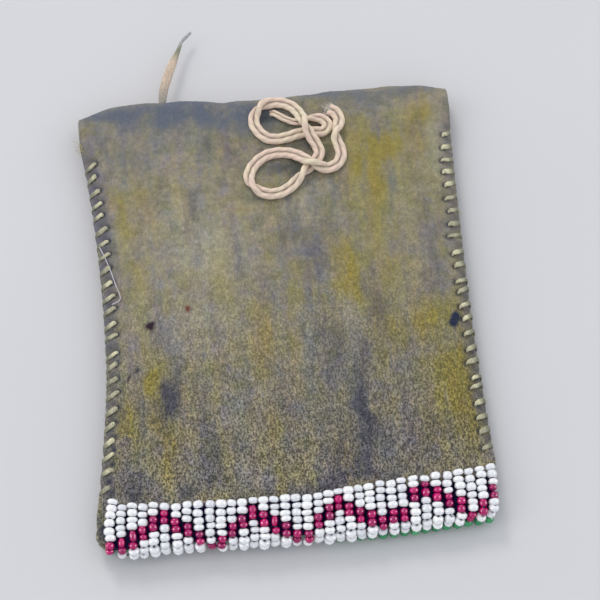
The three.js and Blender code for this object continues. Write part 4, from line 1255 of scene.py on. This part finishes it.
LOOSE_RADIUS = 0.00011
LOOSE_LIFT = 0.0003
LOOSE_TONE = 0.95
FIBRE_DULL = (0.22, 0.20, 0.15, 1)
FIBRE_TONES = [
    (0.2, 0.5, (0.55, 0.48, 0.22, 1)),
    (0.6, 0.75, (0.72, 0.66, 0.58, 1)),
    (0.85, 0.95, (0.62, 0.60, 0.68, 1)),
]
FIBRE_DUST = (0.20, 0.18, 0.16, 1)


def hair(start, reach, length, radius, tone, droop=DROOP):
    """Points, faces and tones of one hair: a parabola from its start that bends down as it runs out."""
    share = np.linspace(0, 1, FIBRE_STEPS)[:, None]
    bend = fibre_seed.normal(0, CURL, 3) - droop * UPWARD
    path = start + length * (share * unit(np.array(reach)) + share ** 2 * bend)
    path[:, 2] = np.maximum(path[:, 2], radius)
    points, faces = tube(path, FIBRE_LEAN, FIBRE_SIDES, radius * (1 - TAPER * share[:, 0]))
    return points.reshape(-1, 3), faces, np.full(FIBRE_STEPS * FIBRE_SIDES, tone)


def side_hair(y, side, sink, stray, rises, lengths, radius, tones):
    """A hair rooted a little under the face at a cut side, which stands out from it."""
    start = over_back(y, np.array(side * SIDE_SHARE), -sink)
    reach = (side, fibre_seed.normal(0, stray), fibre_seed.uniform(*rises))
    return hair(start, reach, fibre_seed.uniform(*lengths), radius, fibre_seed.uniform(*tones))


fibre_seed = np.random.default_rng(21)
hairs = []
for side in (-1, 1):
    for y in fibre_seed.uniform(*SIDE_SPAN, SIDE_FIBRES):
        hairs.append(side_hair(y, side, *SIDE_HAIRS))
for _ in range(TUFT_FIBRES):
    hairs.append(side_hair(fibre_seed.uniform(*TUFT_SPAN), -1, *TUFT_HAIRS))
for start_y, up_seam, length in LONG_HAIRS:
    start = over_back(start_y, np.array(LONG_SHARE), -LONG_SINK)
    hairs.append(hair(start, (1.0, up_seam, LONG_RISE), length, LONG_RADIUS, LONG_TONE))
for _ in range(FRAY_FIBRES):
    start = cord_middle[FRAY_START] + cord_side[-1] * fibre_seed.normal(0, FRAY_WIDTH)
    start = start + fibre_seed.normal(0, FRAY_STRAY, 3)
    reach = cord_tangent[-1] + fibre_seed.normal(0, 1, 3) * FRAY_SPREAD
    length, tone = fibre_seed.uniform(*FRAY_LENGTHS), fibre_seed.uniform(*FRAY_TONES)
    hairs.append(hair(start, reach, length, FRAY_RADIUS, tone, FRAY_DROOP))
loose_x, loose_y = LOOSE_END.T
loose_across = (loose_x - sway(loose_y)) / half_width(loose_y)
loose_z = back_height(loose_y, loose_across) + HIDE_THICKNESS / 2 + LOOSE_LIFT
path = smooth_path(np.column_stack([LOOSE_END, loose_z]), LOOSE_POINTS)
points, faces = tube(path, UPWARD, LOOSE_SIDES, LOOSE_RADIUS)
hairs.append((points.reshape(-1, 3), faces, np.full(LOOSE_POINTS * LOOSE_SIDES, LOOSE_TONE)))

all_points, all_faces, all_tones = zip(*hairs)
starts = np.cumsum([0] + [len(points) for points in all_points])
fibre_faces = [
    [corner + start for corner in face]
    for faces, start in zip(all_faces, starts)
    for face in faces
]
fibre_tones = {"tone": np.concatenate(all_tones)}
fibres = mesh_piece("stray_fibres", np.concatenate(all_points), fibre_faces, fibre_tones)
fibre, shader, place = finish_of("loose_fibre", roughness=0.9, sheen=0.2)
colour = graded(kept(place, "tone"), FIBRE_DULL, FIBRE_TONES)
colour = clouded(place, colour, FIBRE_DUST, scale=900, low=0.0, high=1.0, strength=0.4)
join(colour, shader, "Base Color")
fibres.data.materials.append(fibre)


# Stage: a plain pale cool-grey table, lit by a soft lamp from beyond the bag's top, a weaker one from
# its left and an even sky. Two low lamps at the sides show in reflections alone, as gloss on the beads.
TABLE_CORNERS = [(-1, -1, 0), (1, -1, 0), (1, 1, 0), (-1, 1, 0)]
TABLE_TONES = ((0.615, 0.605, 0.622, 1), (0.650, 0.635, 0.652, 1))
TABLE_SHINE = 0.25
LAMP_WHITE = (1.0, 0.965, 0.935)
LAMPS = {
    "back_lamp": ((-0.45, 1.45, 1.40), 0.60, 12.0, True),
    "left_lamp": ((-1.60, 0.20, 1.60), 1.0, 3.0, True),
    "left_gloss": ((-1.20, -0.10, 0.50), 0.80, 18.0, False),
    "right_gloss": ((1.20, -0.10, 0.50), 0.80, 18.0, False),
}
SKY = (0.895, 0.94, 0.98, 1)
SKY_STRENGTH = 0.90
BACKDROP = (0.64, 0.65, 0.67, 1)

table_mesh = bpy.data.meshes.new("table")
table_mesh.from_pydata(TABLE_CORNERS, [], [(0, 1, 2, 3)])
table = bpy.data.objects.new("table", table_mesh)
bpy.context.collection.objects.link(table)
board, shader, place = finish_of("table_board", roughness=0.7)
shader.inputs["Specular IOR Level"].default_value = TABLE_SHINE
join(mix(noise(place, scale=14), *TABLE_TONES), shader, "Base Color")
table.data.materials.append(board)

for name, (spot, size, power, lights_all) in LAMPS.items():
    lamp = bpy.data.objects.new(name, bpy.data.lights.new(name, "AREA"))
    lamp.data.size = size
    lamp.data.energy = power
    lamp.data.color = LAMP_WHITE
    lamp.location = spot
    lamp.visible_diffuse = lights_all
    lamp.rotation_euler = facing(-Vector(spot))
    bpy.context.collection.objects.link(lamp)
world = bpy.context.scene.world or bpy.data.worlds.new("world")
bpy.context.scene.world = world
world.use_nodes = True
tree = world.node_tree
sky = tree.nodes["Background"]
sky.inputs["Color"].default_value = SKY
sky.inputs["Strength"].default_value = SKY_STRENGTH
backdrop = tree.nodes.new("ShaderNodeBackground")
backdrop.inputs["Color"].default_value = BACKDROP
seen = tree.nodes.new("ShaderNodeLightPath").outputs["Is Camera Ray"]
both = add("MixShader", {0: seen, 1: sky.outputs[0], 2: backdrop.outputs[0]})
tree.links.new(both.outputs[0], tree.nodes["World Output"].inputs["Surface"])
bpy.context.scene.view_settings.view_transform = "Standard"
